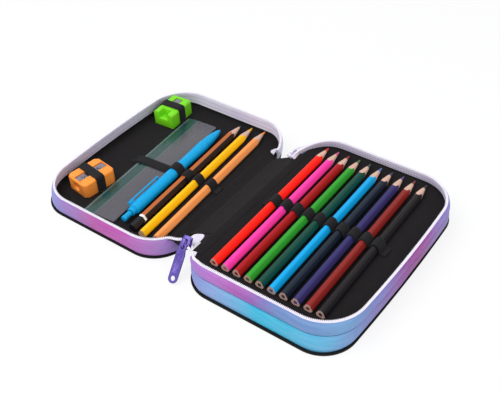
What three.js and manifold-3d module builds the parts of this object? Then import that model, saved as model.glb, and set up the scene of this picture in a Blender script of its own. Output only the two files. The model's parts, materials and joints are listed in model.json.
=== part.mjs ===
// A double-decker pencil case, lying open like a book, with the pencils and tools that fill it.
// Millimetres, +Z up. The origin is on the table, under the middle of the deep half.
// X runs from the lid to the deep half and Y runs from the user's side to the far side.
// The deep half is two decks: a lower tray, and an upper deck that lifts on the spine side.
// The lid hangs on a stiff spine flap, which folds once at the lid and once at the deep half.
import * as THREE from 'three';
import { mergeVertices } from 'three/addons/utils/BufferGeometryUtils.js';
import Module from 'manifold-3d';

const wasm = await Module();
wasm.setup();

// Case: the outline of the two rims, and their heights above the table
const caseWidth = 153;
const caseLength = 198;
const rimCorner = 38;
const deckNearCorner = 26;
const sideBow = 1.5;
const deckRimHeight = 32;
const lidRimHeight = 24;
const zipLevel = 18;
const spineGap = 16;

// Case: how the soft walls lean out from the rims to the feet
const baseFootSpread = 4;
const baseFootNarrowing = 3;
const baseFootCorner = 29;
const lidFootLean = 5;
const lidFootNarrowing = 3;
const lidFootShortening = 2;
const lidFootCorner = 30;

// Case: where the walls start beside the spine, and how far the rims dip there
const nearStartShare = 0.42;
const farStartShare = 0.12;
const lowerZipStartShare = 0.22;
const wedgeStartShare = 0.12;
const dipEndShare = 0.85;
const stepShare = 0.95;
const rimDip = 5;
const wedgeDrop = 5;
const halfShare = 0.5;

// Cloth, board and lining
const wallThickness = 1.8;
const wallBulge = 0.5;
const liningThickness = 0.8;
const tapeThickness = 0.8;
const boardThickness = 2.2;
const boardEdge = 0.5;
const deckBoardThickness = 2.4;
const lidFloorHeight = 7;
const clear = 0.3;
const pipingRadius = 1.3;
const pipingSides = 6;
const tailPass = 5;
const tailPassEnd = 0.6;
const creaseWidth = 0.9;
const creaseDepth = 0.6;
const creaseSetback = 14.5;

// Zip rows. The tapes stand tallest inside the case and narrow towards their ends beside the spine.
const deckTapeHeight = 8.6;
const lidTapeHeight = 12.5;
const tapeEndHeight = 6.2;
const rimTapeShow = 2.4;
const toothHeight = 1.5;
const toothPitch = 2.2;
const toothSlope = 0.35;
const rowWidth = 2.0;
const rowSeat = 0.7;
const hiddenTapeHeight = 2.2;
const hiddenBeadHeight = 1.3;
const hiddenBeadWidth = 1.6;
const tailStep = 3.3;
const tailLean = 12;
const rimTailTurns = [22, 10, -10];
const lowerTailTurns = [30, 30, 15];

// Spine flap
const foldInset = 4.7;
const closedRimGap = 0.8;
const flapSetback = 33;
const flapThickness = 2.4;
const flapLiningThickness = 0.6;
const flapLiningSetback = 3;
const flapLiningNearSetback = 41.8;
// Corners of the tape ends: how far up the flap or out from the deep half, and how far in from the end
const nearPatch = [[3.5, 41.5], [22.5, 41.5], [24, 26.5], [13, 31.5], [3.5, 35]];
const farPatch = [[33.5, 26], [31.1, 18.5], [25.9, 27.5]];
const deckBoardSetback = 6.6;

// Zip slider and its pull
const sliderLength = 11;
const sliderWidth = 8.4;
const sliderNeck = 6;
const sliderPlate = 1.2;
const sliderMouth = 2.6;
const sliderWedge = 2.2;
const sliderShoulderShare = 0.25;
const upperSliderBeside = 7.3;
const upperSliderFromEnd = 19.5;
const upperSliderZ = 23.6;
const upperSliderTurn = 8;
const upperSliderTilt = 36;
const lowerSliderBeside = 8;
const lowerSliderFromEnd = 23;
const lowerSliderZ = 11.2;
const lowerSliderTurn = 176;
const lowerSliderTilt = 12;
const bridgeWidth = 1.8;
const bridgeThickness = 1;
const bridgeRise = 2.8;
const bridgeLength = 7.8;
const bridgeForward = 1;
const pullLength = 33;
const pullWidth = 8.4;
const pullNeckWidth = 6.6;
const pullThickness = 1.6;
const pullHoleRadius = 2.2;
const pullBorder = 1.2;
const pullPanelDepth = 0.4;
const pullPanelLength = 17;
const eyeLength = 3;
const eyeWidth = 3.2;
const eyeBar = 1.4;
const pullDrop = 9;

// Coloured pencils: a rounded triangle round three corner circles
const pencilEndRoom = 23;
const pencilCentreReach = 1.9;
const pencilCornerRadius = 2.3;
const pencilConeLength = 20;
const pencilLeadTip = 0.5;
const pencilCornerSteps = 3;
const deckPencilPitch = 10.97;
const deckPencilFromSpine = 25.3;
const deckPencilFromEnd = 12.5;
const deckSetTurn = 1;
const deckElasticY = 0;

// Elastic
const elasticThickness = 0.9;
const deckElasticWidth = 11;
const lidElasticWidth = 10;
const elasticEnd = 6;
const strapWidth = 9;
const strapEnd = 1.2;

// Lid set: everything under the long elastic lies turned by the same angle
const lidSetTurn = 3.6;
const lidSetFromSpine = 46.8;
const yellowShift = 14.2;
const graphiteShift = 25.9;
const penShift = 38.3;
const rulerShift = 64.2;
const orangePencilFromEnd = 18;
const yellowFromEnd = 16.7;
const graphiteFromEnd = 18.5;
const penFromEnd = 21.5;
const rulerFromEnd = 17.5;

// Graphite pencil
const graphiteEndRoom = 27;
const graphiteAcross = 7;
const graphiteConeLength = 19;
const graphiteCapLength = 13;
const graphiteRingLength = 2.6;
const graphiteCapSwell = 0.25;

// Ball pen
const penRadius = 5.4;
const penGripRadius = 4.9;
const penGripStartShare = 0.55;
const penGripWaistShare = 0.72;
const penEndRoom = 85;
const penNoseLength = 25;
const penNoseTip = 1.3;
const penNoseStraightShare = 0.4;
const penRefillTip = 0.5;
const penRefillReach = 2;
const penShoulderRadius = 3.9;
const penShoulderLength = 5;
const penPlungerRadius = 2.7;
const penPlungerLength = 10;
const penPlungerRim = 0.5;
const penSides = 14;
const clipLength = 42;
const clipWidth = 4;
const clipThickness = 1.4;
const clipLift = 1.3;
const clipFoot = 6;
const clipTurn = 50;

// Ruler
const rulerEndRoom = 38;
const rulerWidth = 35;
const rulerThickness = 2.2;
const rulerEdgeThickness = 1;
const rulerBevel = 9;
const rulerCorner = 2;

// Sharpeners
const sharpenerBore = 4.1;
const sharpenerBoreEnd = 1.4;
const orangeLength = 35;
const orangeWidth = 27;
const orangeHeight = 15;
const orangeChamfer = 3;
const orangeFromSide = 27;
const orangeFromEnd = 44;
const orangeTurn = -8;
const orangeWaist = 1.2;
const greenLength = 32;
const greenWidth = 22.5;
const greenHeight = 15.5;
const greenSlotWidth = 10.5;
const greenSlotDepth = 7.5;
const greenSlotLength = 8;
const greenEdge = 1.4;
const greenBoreShare = 0.8;
const greenFromSide = 21.7;
const greenFromEnd = 32.5;
const greenTurn = 4;
const bladeLength = 13;
const bladeWidth = 7;
const bladeThickness = 0.6;
const bladePocket = 1.8;
const bladePocketWidth = 8.6;
const bladePocketLength = 14;
const bladeLean = 6;
const screwRadius = 1.9;
const screwHeadHeight = 0.7;
const screwSlot = 0.5;
const screwTopShare = 0.8;

// Facets
const cornerSteps = 7;
const endSteps = 2;
const sideSteps = 4;
const arcSteps = 6;

// Heights and places that follow from the sizes above
const sideX = caseWidth / 2;
const endY = caseLength / 2;
const lidCentreX = -caseWidth - spineGap;
const lidSideX = lidCentreX - sideX;
const deckUnderside = zipLevel + clear;
const deckFloor = deckUnderside + clear + deckBoardThickness + clear + liningThickness;
const foldLowX = -sideX - spineGap - foldInset;
const foldLowZ = lidFloorHeight;
const flapReach = deckRimHeight + lidRimHeight + closedRimGap - lidFloorHeight;
const foldRun = spineGap + 2 * foldInset;
const foldHighZ = (flapReach * flapReach - foldRun * foldRun - foldLowZ * foldLowZ)
  / (2 * (flapReach - foldLowZ));
const flapLength = Math.hypot(foldRun, foldHighZ - foldLowZ);
const flapSlope = Math.atan2(foldHighZ - foldLowZ, foldRun);
const liningInset = wallThickness + clear;
const rowInset = liningInset + tapeThickness;
const beadInset = liningInset + hiddenBeadWidth;
const flapHalfLength = endY - flapSetback;
const flapLiningNearEnd = endY - flapLiningNearSetback;
const pencilLength = caseLength - pencilEndRoom;
const graphiteLength = caseLength - graphiteEndRoom;
const penBarrelLength = caseLength - penEndRoom;
const rulerLength = caseLength - rulerEndRoom;

const materials = {
  cloth: { color: 0x9a8fe0, roughness: 0.75, metalness: 0 },
  lilacCloth: { color: 0xb98fdc, roughness: 0.75, metalness: 0 },
  skyCloth: { color: 0x6cb6e6, roughness: 0.75, metalness: 0 },
  lining: { color: 0x1d1b1e, roughness: 0.9, metalness: 0 },
  piping: { color: 0x101012, roughness: 0.7, metalness: 0 },
  tape: { color: 0xe9e4f0, roughness: 0.8, metalness: 0 },
  hiddenTape: { color: 0x7fa8e0, roughness: 0.8, metalness: 0 },
  elastic: { color: 0x0d0d0f, roughness: 0.95, metalness: 0 },
  purpleMetal: { color: 0x6a55c2, roughness: 0.35, metalness: 0.6 },
  paleMetal: { color: 0xe4e0ea, roughness: 0.4, metalness: 0.3 },
  steel: { color: 0xb9bcc2, roughness: 0.3, metalness: 1 },
  orangePlastic: { color: 0xff8a3c, roughness: 0.45, metalness: 0 },
  greenPlastic: { color: 0x7ed321, roughness: 0.4, metalness: 0 },
  clearPlastic: { color: 0x5f6f70, roughness: 0.2, metalness: 0 },
  penPlastic: { color: 0x17a9ea, roughness: 0.4, metalness: 0 },
  lacquer: { color: 0xffffff, roughness: 0.45, metalness: 0 },
};

const deckPaints = [
  ['pencil_red', 0xff2412], ['pencil_pink', 0xff3fb0], ['pencil_crimson', 0xb3161c],
  ['pencil_green', 0x3fa535], ['pencil_dark_green', 0x14503a], ['pencil_blue', 0x12a0ea],
  ['pencil_navy', 0x1b2340], ['pencil_violet', 0x2f2568], ['pencil_brown', 0x7c1f1c],
  ['pencil_black', 0x1c1c1a],
];

const point = (x, y, z) => new THREE.Vector3(x, y, z);
const up = point(0, 0, 1);
const mix = (a, b, share) => a + (b - a) * share;
const smooth = (share) => share * share * (3 - 2 * share);
const radians = THREE.MathUtils.degToRad;

// Solids from triangles

function solid(corners) {
  const soup = new THREE.BufferGeometry();
  const numbers = corners.flatMap((p) => [p.x, p.y, p.z]);
  soup.setAttribute('position', new THREE.Float32BufferAttribute(numbers, 3));
  const joined = mergeVertices(soup);
  if (volume(joined) < 0) {
    const order = joined.index.array;
    for (let i = 0; i < order.length; i += 3) {
      [order[i], order[i + 1]] = [order[i + 1], order[i]];
    }
  }
  return joined;
}

function volume(geometry) {
  const [a, b, c] = [point(), point(), point()];
  const place = geometry.attributes.position;
  const order = geometry.index.array;
  let sum = 0;
  for (let i = 0; i < order.length; i += 3) {
    a.fromBufferAttribute(place, order[i]);
    b.fromBufferAttribute(place, order[i + 1]);
    c.fromBufferAttribute(place, order[i + 2]);
    sum += a.dot(b.clone().cross(c));
  }
  return sum;
}

function quad(out, a, b, c, d) {
  out.push(a, b, c, a, c, d);
}

function normalOf(ring) {
  const normal = point(0, 0, 0);
  ring.forEach((p, i) => {
    const q = ring[(i + 1) % ring.length];
    normal.x += (p.y - q.y) * (p.z + q.z);
    normal.y += (p.z - q.z) * (p.x + q.x);
    normal.z += (p.x - q.x) * (p.y + q.y);
  });
  return normal.normalize();
}

function cap(out, ring, along) {
  const normal = normalOf(ring);
  const across = ring[1].clone().sub(ring[0]).normalize();
  const up = normal.clone().cross(across);
  const flat = ring.map((p) => new THREE.Vector2(p.dot(across), p.dot(up)));
  THREE.ShapeUtils.triangulateShape(flat, []).forEach(([a, b, c]) => {
    out.push(ring[a], ...(along ? [ring[b], ring[c]] : [ring[c], ring[b]]));
  });
}

// A loft through closed sections with the same number of points, capped or run round into a ring
function loft(sections, ring = false) {
  const out = [];
  const last = sections.length - (ring ? 0 : 1);
  for (let i = 0; i < last; i += 1) {
    const here = sections[i];
    const next = sections[(i + 1) % sections.length];
    here.forEach((p, j) => {
      const k = (j + 1) % here.length;
      quad(out, p, here[k], next[k], next[j]);
    });
  }
  if (!ring) {
    cap(out, sections[0], false);
    cap(out, sections[sections.length - 1], true);
  }
  return solid(out);
}

// Booleans

function toManifold(geometry) {
  const bare = geometry.clone();
  bare.deleteAttribute('normal');
  bare.deleteAttribute('uv');
  const joined = mergeVertices(bare);
  return new wasm.Manifold(new wasm.Mesh({
    numProp: 3,
    vertProperties: new Float32Array(joined.attributes.position.array),
    triVerts: new Uint32Array(joined.index.array),
  }));
}

function toGeometry(manifold) {
  const mesh = manifold.getMesh();
  const geometry = new THREE.BufferGeometry();
  geometry.setAttribute('position', new THREE.BufferAttribute(new Float32Array(mesh.vertProperties), 3));
  geometry.setIndex(new THREE.BufferAttribute(new Uint32Array(mesh.triVerts), 1));
  return geometry;
}

const join = (first, ...others) => toGeometry(
  others.reduce((sum, next) => sum.add(toManifold(next)), toManifold(first)),
);
const cut = (first, ...others) => toGeometry(
  others.reduce((rest, next) => rest.subtract(toManifold(next)), toManifold(first)),
);
const common = (first, second) => toGeometry(toManifold(first).intersect(toManifold(second)));

function box(width, length, height, x, y, z) {
  const geometry = new THREE.BoxGeometry(width, length, height);
  geometry.translate(x, y, z);
  return geometry;
}

// A flat outline in X and Y, drawn out upward from a height
function slab(outlinePoints, low, height) {
  const shape = new THREE.Shape(outlinePoints);
  const geometry = new THREE.ExtrudeGeometry(shape, { depth: height, bevelEnabled: false });
  geometry.translate(0, 0, low);
  return geometry;
}

// A section in X and Z, drawn out along Y from a start
function bar(sectionPoints, start, length) {
  const shape = new THREE.Shape(sectionPoints);
  const geometry = new THREE.ExtrudeGeometry(shape, { depth: length, bevelEnabled: false });
  geometry.rotateX(Math.PI / 2);
  geometry.translate(0, start + length, 0);
  return geometry;
}

// A revolved profile of radii and stations, turned to lie along Y
function turned(profile, sides) {
  return new THREE.LatheGeometry(profile.map(([radius, along]) => new THREE.Vector2(radius, along)), sides);
}

// Outlines: a rounded rectangle whose open long side bows out, mirrored for the lid to face the spine

const deckRim = {
  centre: 0,
  width: caseWidth,
  length: caseLength,
  corner: rimCorner,
  nearCorner: deckNearCorner,
  bow: sideBow,
  facing: 1,
};
const baseFoot = {
  centre: -baseFootNarrowing / 2,
  width: caseWidth - baseFootNarrowing,
  length: caseLength + 2 * baseFootSpread,
  corner: baseFootCorner,
  nearCorner: baseFootCorner,
  bow: sideBow,
  facing: 1,
};
const lidRim = { ...deckRim, centre: lidCentreX, nearCorner: rimCorner, facing: -1 };
const lidFoot = {
  centre: lidCentreX - lidFootLean,
  width: caseWidth - lidFootNarrowing,
  length: caseLength - 2 * lidFootShortening,
  corner: lidFootCorner,
  nearCorner: lidFootCorner,
  bow: sideBow,
  facing: -1,
};

function between(foot, rim, share) {
  return {
    centre: mix(foot.centre, rim.centre, share),
    width: mix(foot.width, rim.width, share),
    length: mix(foot.length, rim.length, share),
    corner: mix(foot.corner, rim.corner, share),
    nearCorner: mix(foot.nearCorner, rim.nearCorner, share),
    bow: mix(foot.bow, rim.bow, share),
    facing: rim.facing,
  };
}

const base = (z) => between(baseFoot, deckRim, z / deckRimHeight);
const lid = (z) => between(lidFoot, lidRim, z / lidRimHeight);

// A point of an outline. Its legs run from the near corner beside the spine, round the open long side,
// to the far corner beside the spine, and back along the spine side.
function place(outline, station, inset, z) {
  const halfWidth = outline.width / 2 - inset;
  const halfLength = outline.length / 2 - inset;
  const corner = outline.corner - inset;
  const nearCorner = outline.nearCorner - inset;
  const straightX = halfWidth - corner;
  const straightY = halfLength - corner;
  const nearX = halfWidth - nearCorner;
  const nearY = halfLength - nearCorner;
  const { leg, share } = station;
  const along = Math.sin(share * Math.PI / 2);
  const across = Math.cos(share * Math.PI / 2);
  const legs = {
    spineNear: () => [-nearX - nearCorner * across, -nearY - nearCorner * along],
    near: () => [mix(-nearX, straightX, share), -halfLength],
    openNear: () => [straightX + corner * along, -straightY - corner * across],
    open: () => [halfWidth + outline.bow * 4 * share * (1 - share), mix(-straightY, straightY, share)],
    openFar: () => [straightX + corner * across, straightY + corner * along],
    far: () => [mix(straightX, -straightX, share), halfLength],
    spineFar: () => [-straightX - corner * along, straightY + corner * across],
    spine: () => [-halfWidth, mix(straightY, -nearY, share)],
  };
  const [x, y] = legs[leg]();
  return point(outline.centre + outline.facing * x, y, z);
}

function steps(leg, count, from = 0, to = 1) {
  return Array.from({ length: count }, (_, i) => ({ leg, share: mix(from, to, i / count) }));
}

// The stations of a wall that stays open on the spine side
function openStations(nearShare, farShare) {
  return [
    ...steps('spineNear', cornerSteps - 2, nearShare),
    ...steps('near', endSteps),
    ...steps('openNear', cornerSteps),
    ...steps('open', sideSteps),
    ...steps('openFar', cornerSteps),
    ...steps('far', endSteps),
    ...steps('spineFar', cornerSteps - 1, 0, 1 - farShare),
    { leg: 'spineFar', share: 1 - farShare },
  ];
}

const rimStations = openStations(nearStartShare, farStartShare);
const lowerZipStations = openStations(nearStartShare, lowerZipStartShare);

// The stations that close such a wall into a ring on the spine side, each with the height of its top.
// At the tail the wall dips to let the tape pass.
function spineStations(nearShare, farShare, height, tailHeight) {
  return [
    { leg: 'spineFar', share: 1 - farShare * stepShare, top: tailHeight },
    { leg: 'spineFar', share: 1 - farShare * tailPassEnd, top: tailHeight },
    { leg: 'spine', share: 0, top: height },
    { leg: 'spine', share: 1, top: height },
    { leg: 'spineNear', share: nearShare * stepShare, top: height },
  ];
}

const lidSpineTop = lidFloorHeight - flapThickness / 2 - clear;
const flapUnderSpineSide = foldLowZ
  + (-sideX - foldLowX) * Math.tan(flapSlope) - flapThickness / 2 / Math.cos(flapSlope);
const traySpineTop = flapUnderSpineSide - clear;
const tailPassTop = zipLevel - clear - tailPass;
const wedgeTop = lidRimHeight - rimTapeShow - wedgeDrop;
// Beside the near slider the lid's wall runs out in a wedge under the loose end of the tape
const lidRing = [
  ...rimStations,
  ...spineStations(wedgeStartShare, farStartShare, lidSpineTop, lidSpineTop),
  ...steps('spineNear', endSteps, wedgeStartShare, nearStartShare).map((station) => ({
    ...station,
    top: mix(lidSpineTop, wedgeTop, (station.share - wedgeStartShare) / (nearStartShare - wedgeStartShare)),
  })),
  { leg: 'spineNear', share: nearStartShare * stepShare, top: wedgeTop },
];
const lowerRing = [
  ...lowerZipStations,
  ...spineStations(nearStartShare, lowerZipStartShare, traySpineTop, tailPassTop),
];
const ringStations = [
  ...steps('spineNear', cornerSteps),
  ...steps('near', endSteps),
  ...steps('openNear', cornerSteps),
  ...steps('open', sideSteps),
  ...steps('openFar', cornerSteps),
  ...steps('far', endSteps),
  ...steps('spineFar', cornerSteps),
  { leg: 'spine', share: 0 },
];

// How far along a corner beside the spine a station lies, from nothing at the wall's start to one
function cornerRun(station, endShare) {
  const run = (share, startShare) => {
    const passed = (share - startShare) / (endShare - startShare);
    return THREE.MathUtils.clamp(passed, 0, 1);
  };
  if (station.leg === 'spineNear') {
    return run(station.share, nearStartShare);
  }
  return station.leg === 'spineFar' ? run(1 - station.share, farStartShare) : 1;
}

// How far the soft rim dips at a station: it falls towards the spine
function rimFall(station, nearDip, farDip) {
  const dip = station.leg === 'spineNear' ? nearDip : farDip;
  return dip * (1 - smooth(cornerRun(station, dipEndShare)));
}

const deckFall = (station) => rimFall(station, rimDip, rimDip);
const lidFall = (station) => rimFall(station, 0, rimDip);
const tapeHeight = (station, full) => mix(tapeEndHeight, full, smooth(cornerRun(station, 1)));

// Walls, plates and zip rows

function wall(outline, stations, profile, ring) {
  const sections = stations.map((station) => profile(station).map(
    ([inset, z]) => place(outline(z), station, inset, z),
  ));
  return loft(sections, ring);
}

function plate(outline, layers, setback = 0) {
  const sections = layers.map(([inset, z]) => ringStations.map((station) => {
    const p = place(outline(z), station, inset, z);
    if (setback > 0) {
      const edge = outline(z).centre - outline(z).facing * (outline(z).width / 2 - setback);
      p.x = outline(z).facing > 0 ? Math.max(p.x, edge) : Math.min(p.x, edge);
    }
    return p;
  }));
  return loft(sections);
}

function bottomBoard(outline) {
  const inset = pipingRadius + clear;
  const foot = () => outline(0);
  return plate(foot, [[inset + boardEdge, 0], [inset, boardEdge], [inset, boardThickness]]);
}

function piping(outline) {
  const sections = ringStations.map((station) => Array.from({ length: pipingSides }, (_, i) => {
    const angle = (2 * i + 1) * Math.PI / pipingSides;
    const z = pipingRadius + pipingRadius * Math.sin(angle);
    return place(outline(0), station, pipingRadius * Math.cos(angle), z);
  }));
  return loft(sections, true);
}

const wallLow = 2 * pipingRadius + clear;

function lowerWall() {
  return wall(base, lowerRing, (station) => {
    const top = station.top ?? zipLevel - clear;
    const middle = mix(wallLow, top, halfShare);
    return [
      [0, wallLow], [-wallBulge, middle], [0, top],
      [wallThickness, top], [wallThickness, wallLow],
    ];
  }, true);
}

function lowerLining() {
  const low = boardThickness + clear;
  const inset = liningInset + tapeThickness + clear;
  const floor = plate(base, [[inset, low], [inset, low + liningThickness]]);
  const sides = wall(base, lowerRing, (station) => {
    const full = zipLevel - clear - hiddenBeadHeight - clear;
    const top = Math.min(full, station.top ?? full);
    const start = low + liningThickness / 2;
    return [
      [inset, start], [inset, top],
      [inset + liningThickness, top], [inset + liningThickness, start],
    ];
  }, true);
  return join(floor, sides);
}

function deckWall() {
  return wall(base, rimStations, (station) => {
    const top = deckRimHeight - rimTapeShow - deckFall(station);
    const middle = mix(deckUnderside, top, halfShare);
    return [
      [0, deckUnderside], [-wallBulge, middle], [0, top],
      [wallThickness, top], [wallThickness, deckUnderside],
    ];
  });
}

function lidWall() {
  return wall(lid, lidRing, (station) => {
    const top = station.top ?? lidRimHeight - rimTapeShow - lidFall(station);
    const middle = mix(wallLow, top, halfShare);
    return [
      [0, wallLow], [-wallBulge, middle], [0, top],
      [wallThickness, top], [wallThickness, wallLow],
    ];
  }, true);
}

// A row of the open zip: a cloth tape that stands inside the wall and curls over its edge, with teeth along
// the top. Its loose near end leaves the wall and leans over on its way to the slider.
function rimRow(outline, rimHeight, fall, fullHeight) {
  const sections = rimStations.map((station) => {
    const rise = rimHeight - fall(station);
    const low = rise - tapeHeight(station, fullHeight);
    const top = rise - toothHeight;
    const shelf = top - rowSeat;
    return [
      [liningInset, low],
      [liningInset, shelf],
      [rowInset - rowWidth, shelf],
      [rowInset - rowWidth, top],
      [rowInset, top],
      [rowInset, low],
    ].map(([inset, z]) => place(outline(z), station, inset, z));
  });
  const facing = outline(0).facing;
  return toothed([...tail(sections[0], -facing, rimTailTurns).reverse(), ...sections], 3);
}

// The loose end of a tape. Each step turns the section about its own middle, walks on, and leans it outwards.
function tail(section, side, turns) {
  const middle = (ring) => ring.reduce((sum, p) => sum.add(p), point(0, 0, 0)).divideScalar(ring.length);
  const flat = section.map((p) => p.clone().setZ(0));
  const out = flat[2].clone().sub(flat[4]).normalize();
  let heading = out.clone().applyAxisAngle(up, side * Math.PI / 2);
  let ring = section;
  return turns.map((turn) => {
    const angle = -side * radians(turn);
    const centre = middle(ring);
    heading = heading.clone().applyAxisAngle(up, angle);
    const next = ring.map((p) => p.clone().sub(centre)
      .applyAxisAngle(up, angle)
      .applyAxisAngle(heading, side * radians(tailLean))
      .add(centre)
      .addScaledVector(heading, tailStep));
    ring = next;
    return next;
  });
}

// A loft whose edge between points (edge) and (edge + 1) of the section carries teeth
function toothed(sections, edge) {
  const out = [];
  const count = sections[0].length;
  for (let i = 0; i + 1 < sections.length; i += 1) {
    const here = sections[i];
    const next = sections[i + 1];
    for (let j = 0; j < count; j += 1) {
      if (Math.abs(j - edge) > 1) {
        const k = (j + 1) % count;
        quad(out, here[j], here[k], next[k], next[j]);
      }
    }
    teeth(out, here, next, edge);
  }
  cap(out, sections[0], false);
  cap(out, sections[sections.length - 1], true);
  return solid(out);
}

function teeth(out, here, next, edge) {
  const below = here[edge - 1];
  const belowNext = next[edge - 1];
  const after = here[edge + 2];
  const afterNext = next[edge + 2];
  const run = here[edge].distanceTo(next[edge]);
  const count = Math.max(1, Math.round(run / toothPitch));
  const roots = (side) => Array.from(
    { length: count + 1 },
    (_, i) => here[side].clone().lerp(next[side], i / count),
  );
  const outer = roots(edge);
  const inner = roots(edge + 1);
  for (let i = 0; i < count; i += 1) {
    const across = inner[i].clone().sub(outer[i]).setLength(toothSlope);
    const outerPeak = outer[i].clone().lerp(outer[i + 1], halfShare).add(across);
    const innerPeak = inner[i].clone().lerp(inner[i + 1], halfShare).sub(across);
    outerPeak.z += toothHeight;
    innerPeak.z += toothHeight;
    out.push(below, outer[i], outer[i + 1]);
    out.push(outer[i], outerPeak, outer[i + 1]);
    quad(out, outer[i], inner[i], innerPeak, outerPeak);
    quad(out, outerPeak, innerPeak, inner[i + 1], outer[i + 1]);
    out.push(inner[i], inner[i + 1], innerPeak);
    out.push(after, inner[i + 1], inner[i]);
  }
  out.push(below, outer[count], belowNext);
  out.push(after, afterNext, inner[count]);
}

// A row of the closed zip: its bead lies inside the wall, along the slit between the two decks
function hiddenRow(start, rise) {
  const end = start + rise * hiddenTapeHeight;
  const bead = start + rise * hiddenBeadHeight;
  const profile = [
    [liningInset, start],
    [liningInset, end],
    [rowInset, end],
    [rowInset, bead],
    [beadInset, bead],
    [beadInset, start],
  ];
  return lowerZipStations.map((station) => profile.map(([inset, z]) => place(base(z), station, inset, z)));
}

function lowerRow() {
  const sections = hiddenRow(zipLevel - clear, -1);
  return loft([...sections, ...tail(sections[sections.length - 1], 1, lowerTailTurns)]);
}

function upperRow() {
  return loft(hiddenRow(deckUnderside, 1));
}

// Boards and linings

function deckBoard() {
  const low = deckUnderside + clear;
  const inset = beadInset + clear;
  const layers = [[inset + boardEdge, low], [inset, low + boardEdge], [inset, low + deckBoardThickness]];
  return plate(base, layers, deckBoardSetback);
}

function deckLining() {
  const low = deckFloor - liningThickness;
  const start = low + liningThickness / 2;
  const inset = rowInset + clear;
  const sheet = plate(base, [[inset, low], [inset, deckFloor]], deckBoardSetback);
  const topAt = (station) => deckRimHeight - deckFall(station) - tapeHeight(station, deckTapeHeight) - clear;
  const tallStations = rimStations.filter((station) => topAt(station) > start + liningThickness);
  const sides = wall(base, tallStations, (station) => {
    const top = topAt(station);
    return [
      [inset, start], [inset - tapeThickness, top],
      [inset - tapeThickness + liningThickness, top], [inset + liningThickness, start],
    ];
  });
  return join(sheet, sides);
}

function lidLining() {
  const low = boardThickness + clear;
  const inset = liningInset;
  const edge = foldInset + flapThickness / 2 + clear;
  const padding = plate(lid, [[inset, low], [inset, lidFloorHeight]], edge);
  const sides = wall(lid, rimStations, (station) => {
    const top = lidRimHeight - lidFall(station) - tapeHeight(station, lidTapeHeight) - clear;
    const start = lidFloorHeight - liningThickness;
    return [
      [inset, start], [inset, top],
      [inset + liningThickness, top], [inset + liningThickness, start],
    ];
  });
  const crease = box(
    creaseWidth,
    caseLength,
    2 * creaseDepth,
    foldLowX - creaseSetback,
    0,
    lidFloorHeight,
  );
  return cut(join(padding, sides), crease);
}

// Spine flap, drawn level from the low fold and then tilted to the high fold

function flapSection(from, to, low, high, round) {
  if (!round) {
    return [point(from, low), point(to, low), point(to, high), point(from, high)];
  }
  const radius = (high - low) / 2;
  const arc = (centre, start) => Array.from({ length: arcSteps + 1 }, (_, i) => {
    const angle = start + Math.PI * i / arcSteps;
    return point(centre + radius * Math.cos(angle), radius * Math.sin(angle));
  });
  return [...arc(to, -Math.PI / 2), ...arc(from, Math.PI / 2)];
}

const flatSection = (points) => points.map((p) => new THREE.Vector2(p.x, p.y));

function flapBoard() {
  const half = flapThickness / 2;
  return bar(flatSection(flapSection(0, flapLength, -half, half, true)), -flapHalfLength, 2 * flapHalfLength);
}

function flapLining() {
  const low = flapThickness / 2 + clear;
  const section = flapSection(
    flapLiningSetback,
    flapLength - flapLiningSetback,
    low,
    low + flapLiningThickness,
    false,
  );
  return bar(flatSection(section), -flapLiningNearEnd, flapLiningNearEnd + flapHalfLength);
}

// The white ends of the zip tapes: the near one lies over the flap's end, the far one in the lid's corner
function nearTapeEnd() {
  const corners = nearPatch.map(([along, fromEnd]) => new THREE.Vector2(along, fromEnd - endY));
  return slab(corners, flapThickness / 2 + clear, flapLiningThickness);
}

function farTapeEnd() {
  const corners = farPatch.map(([beside, fromEnd]) => new THREE.Vector2(-sideX - beside, endY - fromEnd));
  return slab(corners, lidFloorHeight + clear, tapeThickness);
}

// Zip slider: two shield plates joined by a wedge, with the pull's bridge on top.
// Its nose points to -Y, its upper plate faces +Z.

function shieldOutline() {
  const half = sliderWidth / 2;
  const neck = sliderNeck / 2;
  const front = -sliderLength / 2;
  const back = sliderLength / 2;
  const shoulder = mix(front, back, sliderShoulderShare);
  const shape = new THREE.Shape();
  shape.moveTo(-neck, back);
  shape.quadraticCurveTo(-half, 0, -half, shoulder);
  shape.quadraticCurveTo(-half, front, 0, front);
  shape.quadraticCurveTo(half, front, half, shoulder);
  shape.quadraticCurveTo(half, 0, neck, back);
  return shape.getPoints(arcSteps / 2);
}

function sliderBody() {
  const half = sliderMouth / 2;
  const upper = slab(shieldOutline(), half, sliderPlate);
  const lower = slab(shieldOutline(), -half - sliderPlate, sliderPlate);
  const wedge = slab([
    new THREE.Vector2(-sliderWedge / 2, -sliderLength / 2 + sliderPlate),
    new THREE.Vector2(sliderWedge / 2, -sliderLength / 2 + sliderPlate),
    new THREE.Vector2(0, 0),
  ], -half - sliderPlate / 2, sliderMouth + sliderPlate);
  const top = half + sliderPlate;
  const outer = top + bridgeRise + bridgeThickness;
  const front = -bridgeLength / 2 - bridgeForward;
  const back = bridgeLength / 2 - bridgeForward;
  const foot = top - sliderPlate / 2;
  const bridge = slabAcross([
    [front, foot], [front, outer - bridgeThickness], [front + bridgeThickness, outer],
    [back - bridgeThickness, outer], [back, outer - bridgeThickness], [back, foot],
    [back - bridgeThickness, foot], [back - bridgeThickness, outer - bridgeThickness],
    [front + bridgeThickness, outer - bridgeThickness], [front + bridgeThickness, foot],
  ], bridgeWidth);
  return join(upper, lower, wedge, bridge);
}

// A section in Y and Z, drawn out along X and centred on it
function slabAcross(section, width) {
  const shape = new THREE.Shape(section.map(([y, z]) => new THREE.Vector2(y, z)));
  const geometry = new THREE.ExtrudeGeometry(shape, { depth: width, bevelEnabled: false });
  geometry.rotateX(Math.PI / 2);
  geometry.rotateZ(Math.PI / 2);
  geometry.translate(-width / 2, 0, 0);
  return geometry;
}

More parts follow.
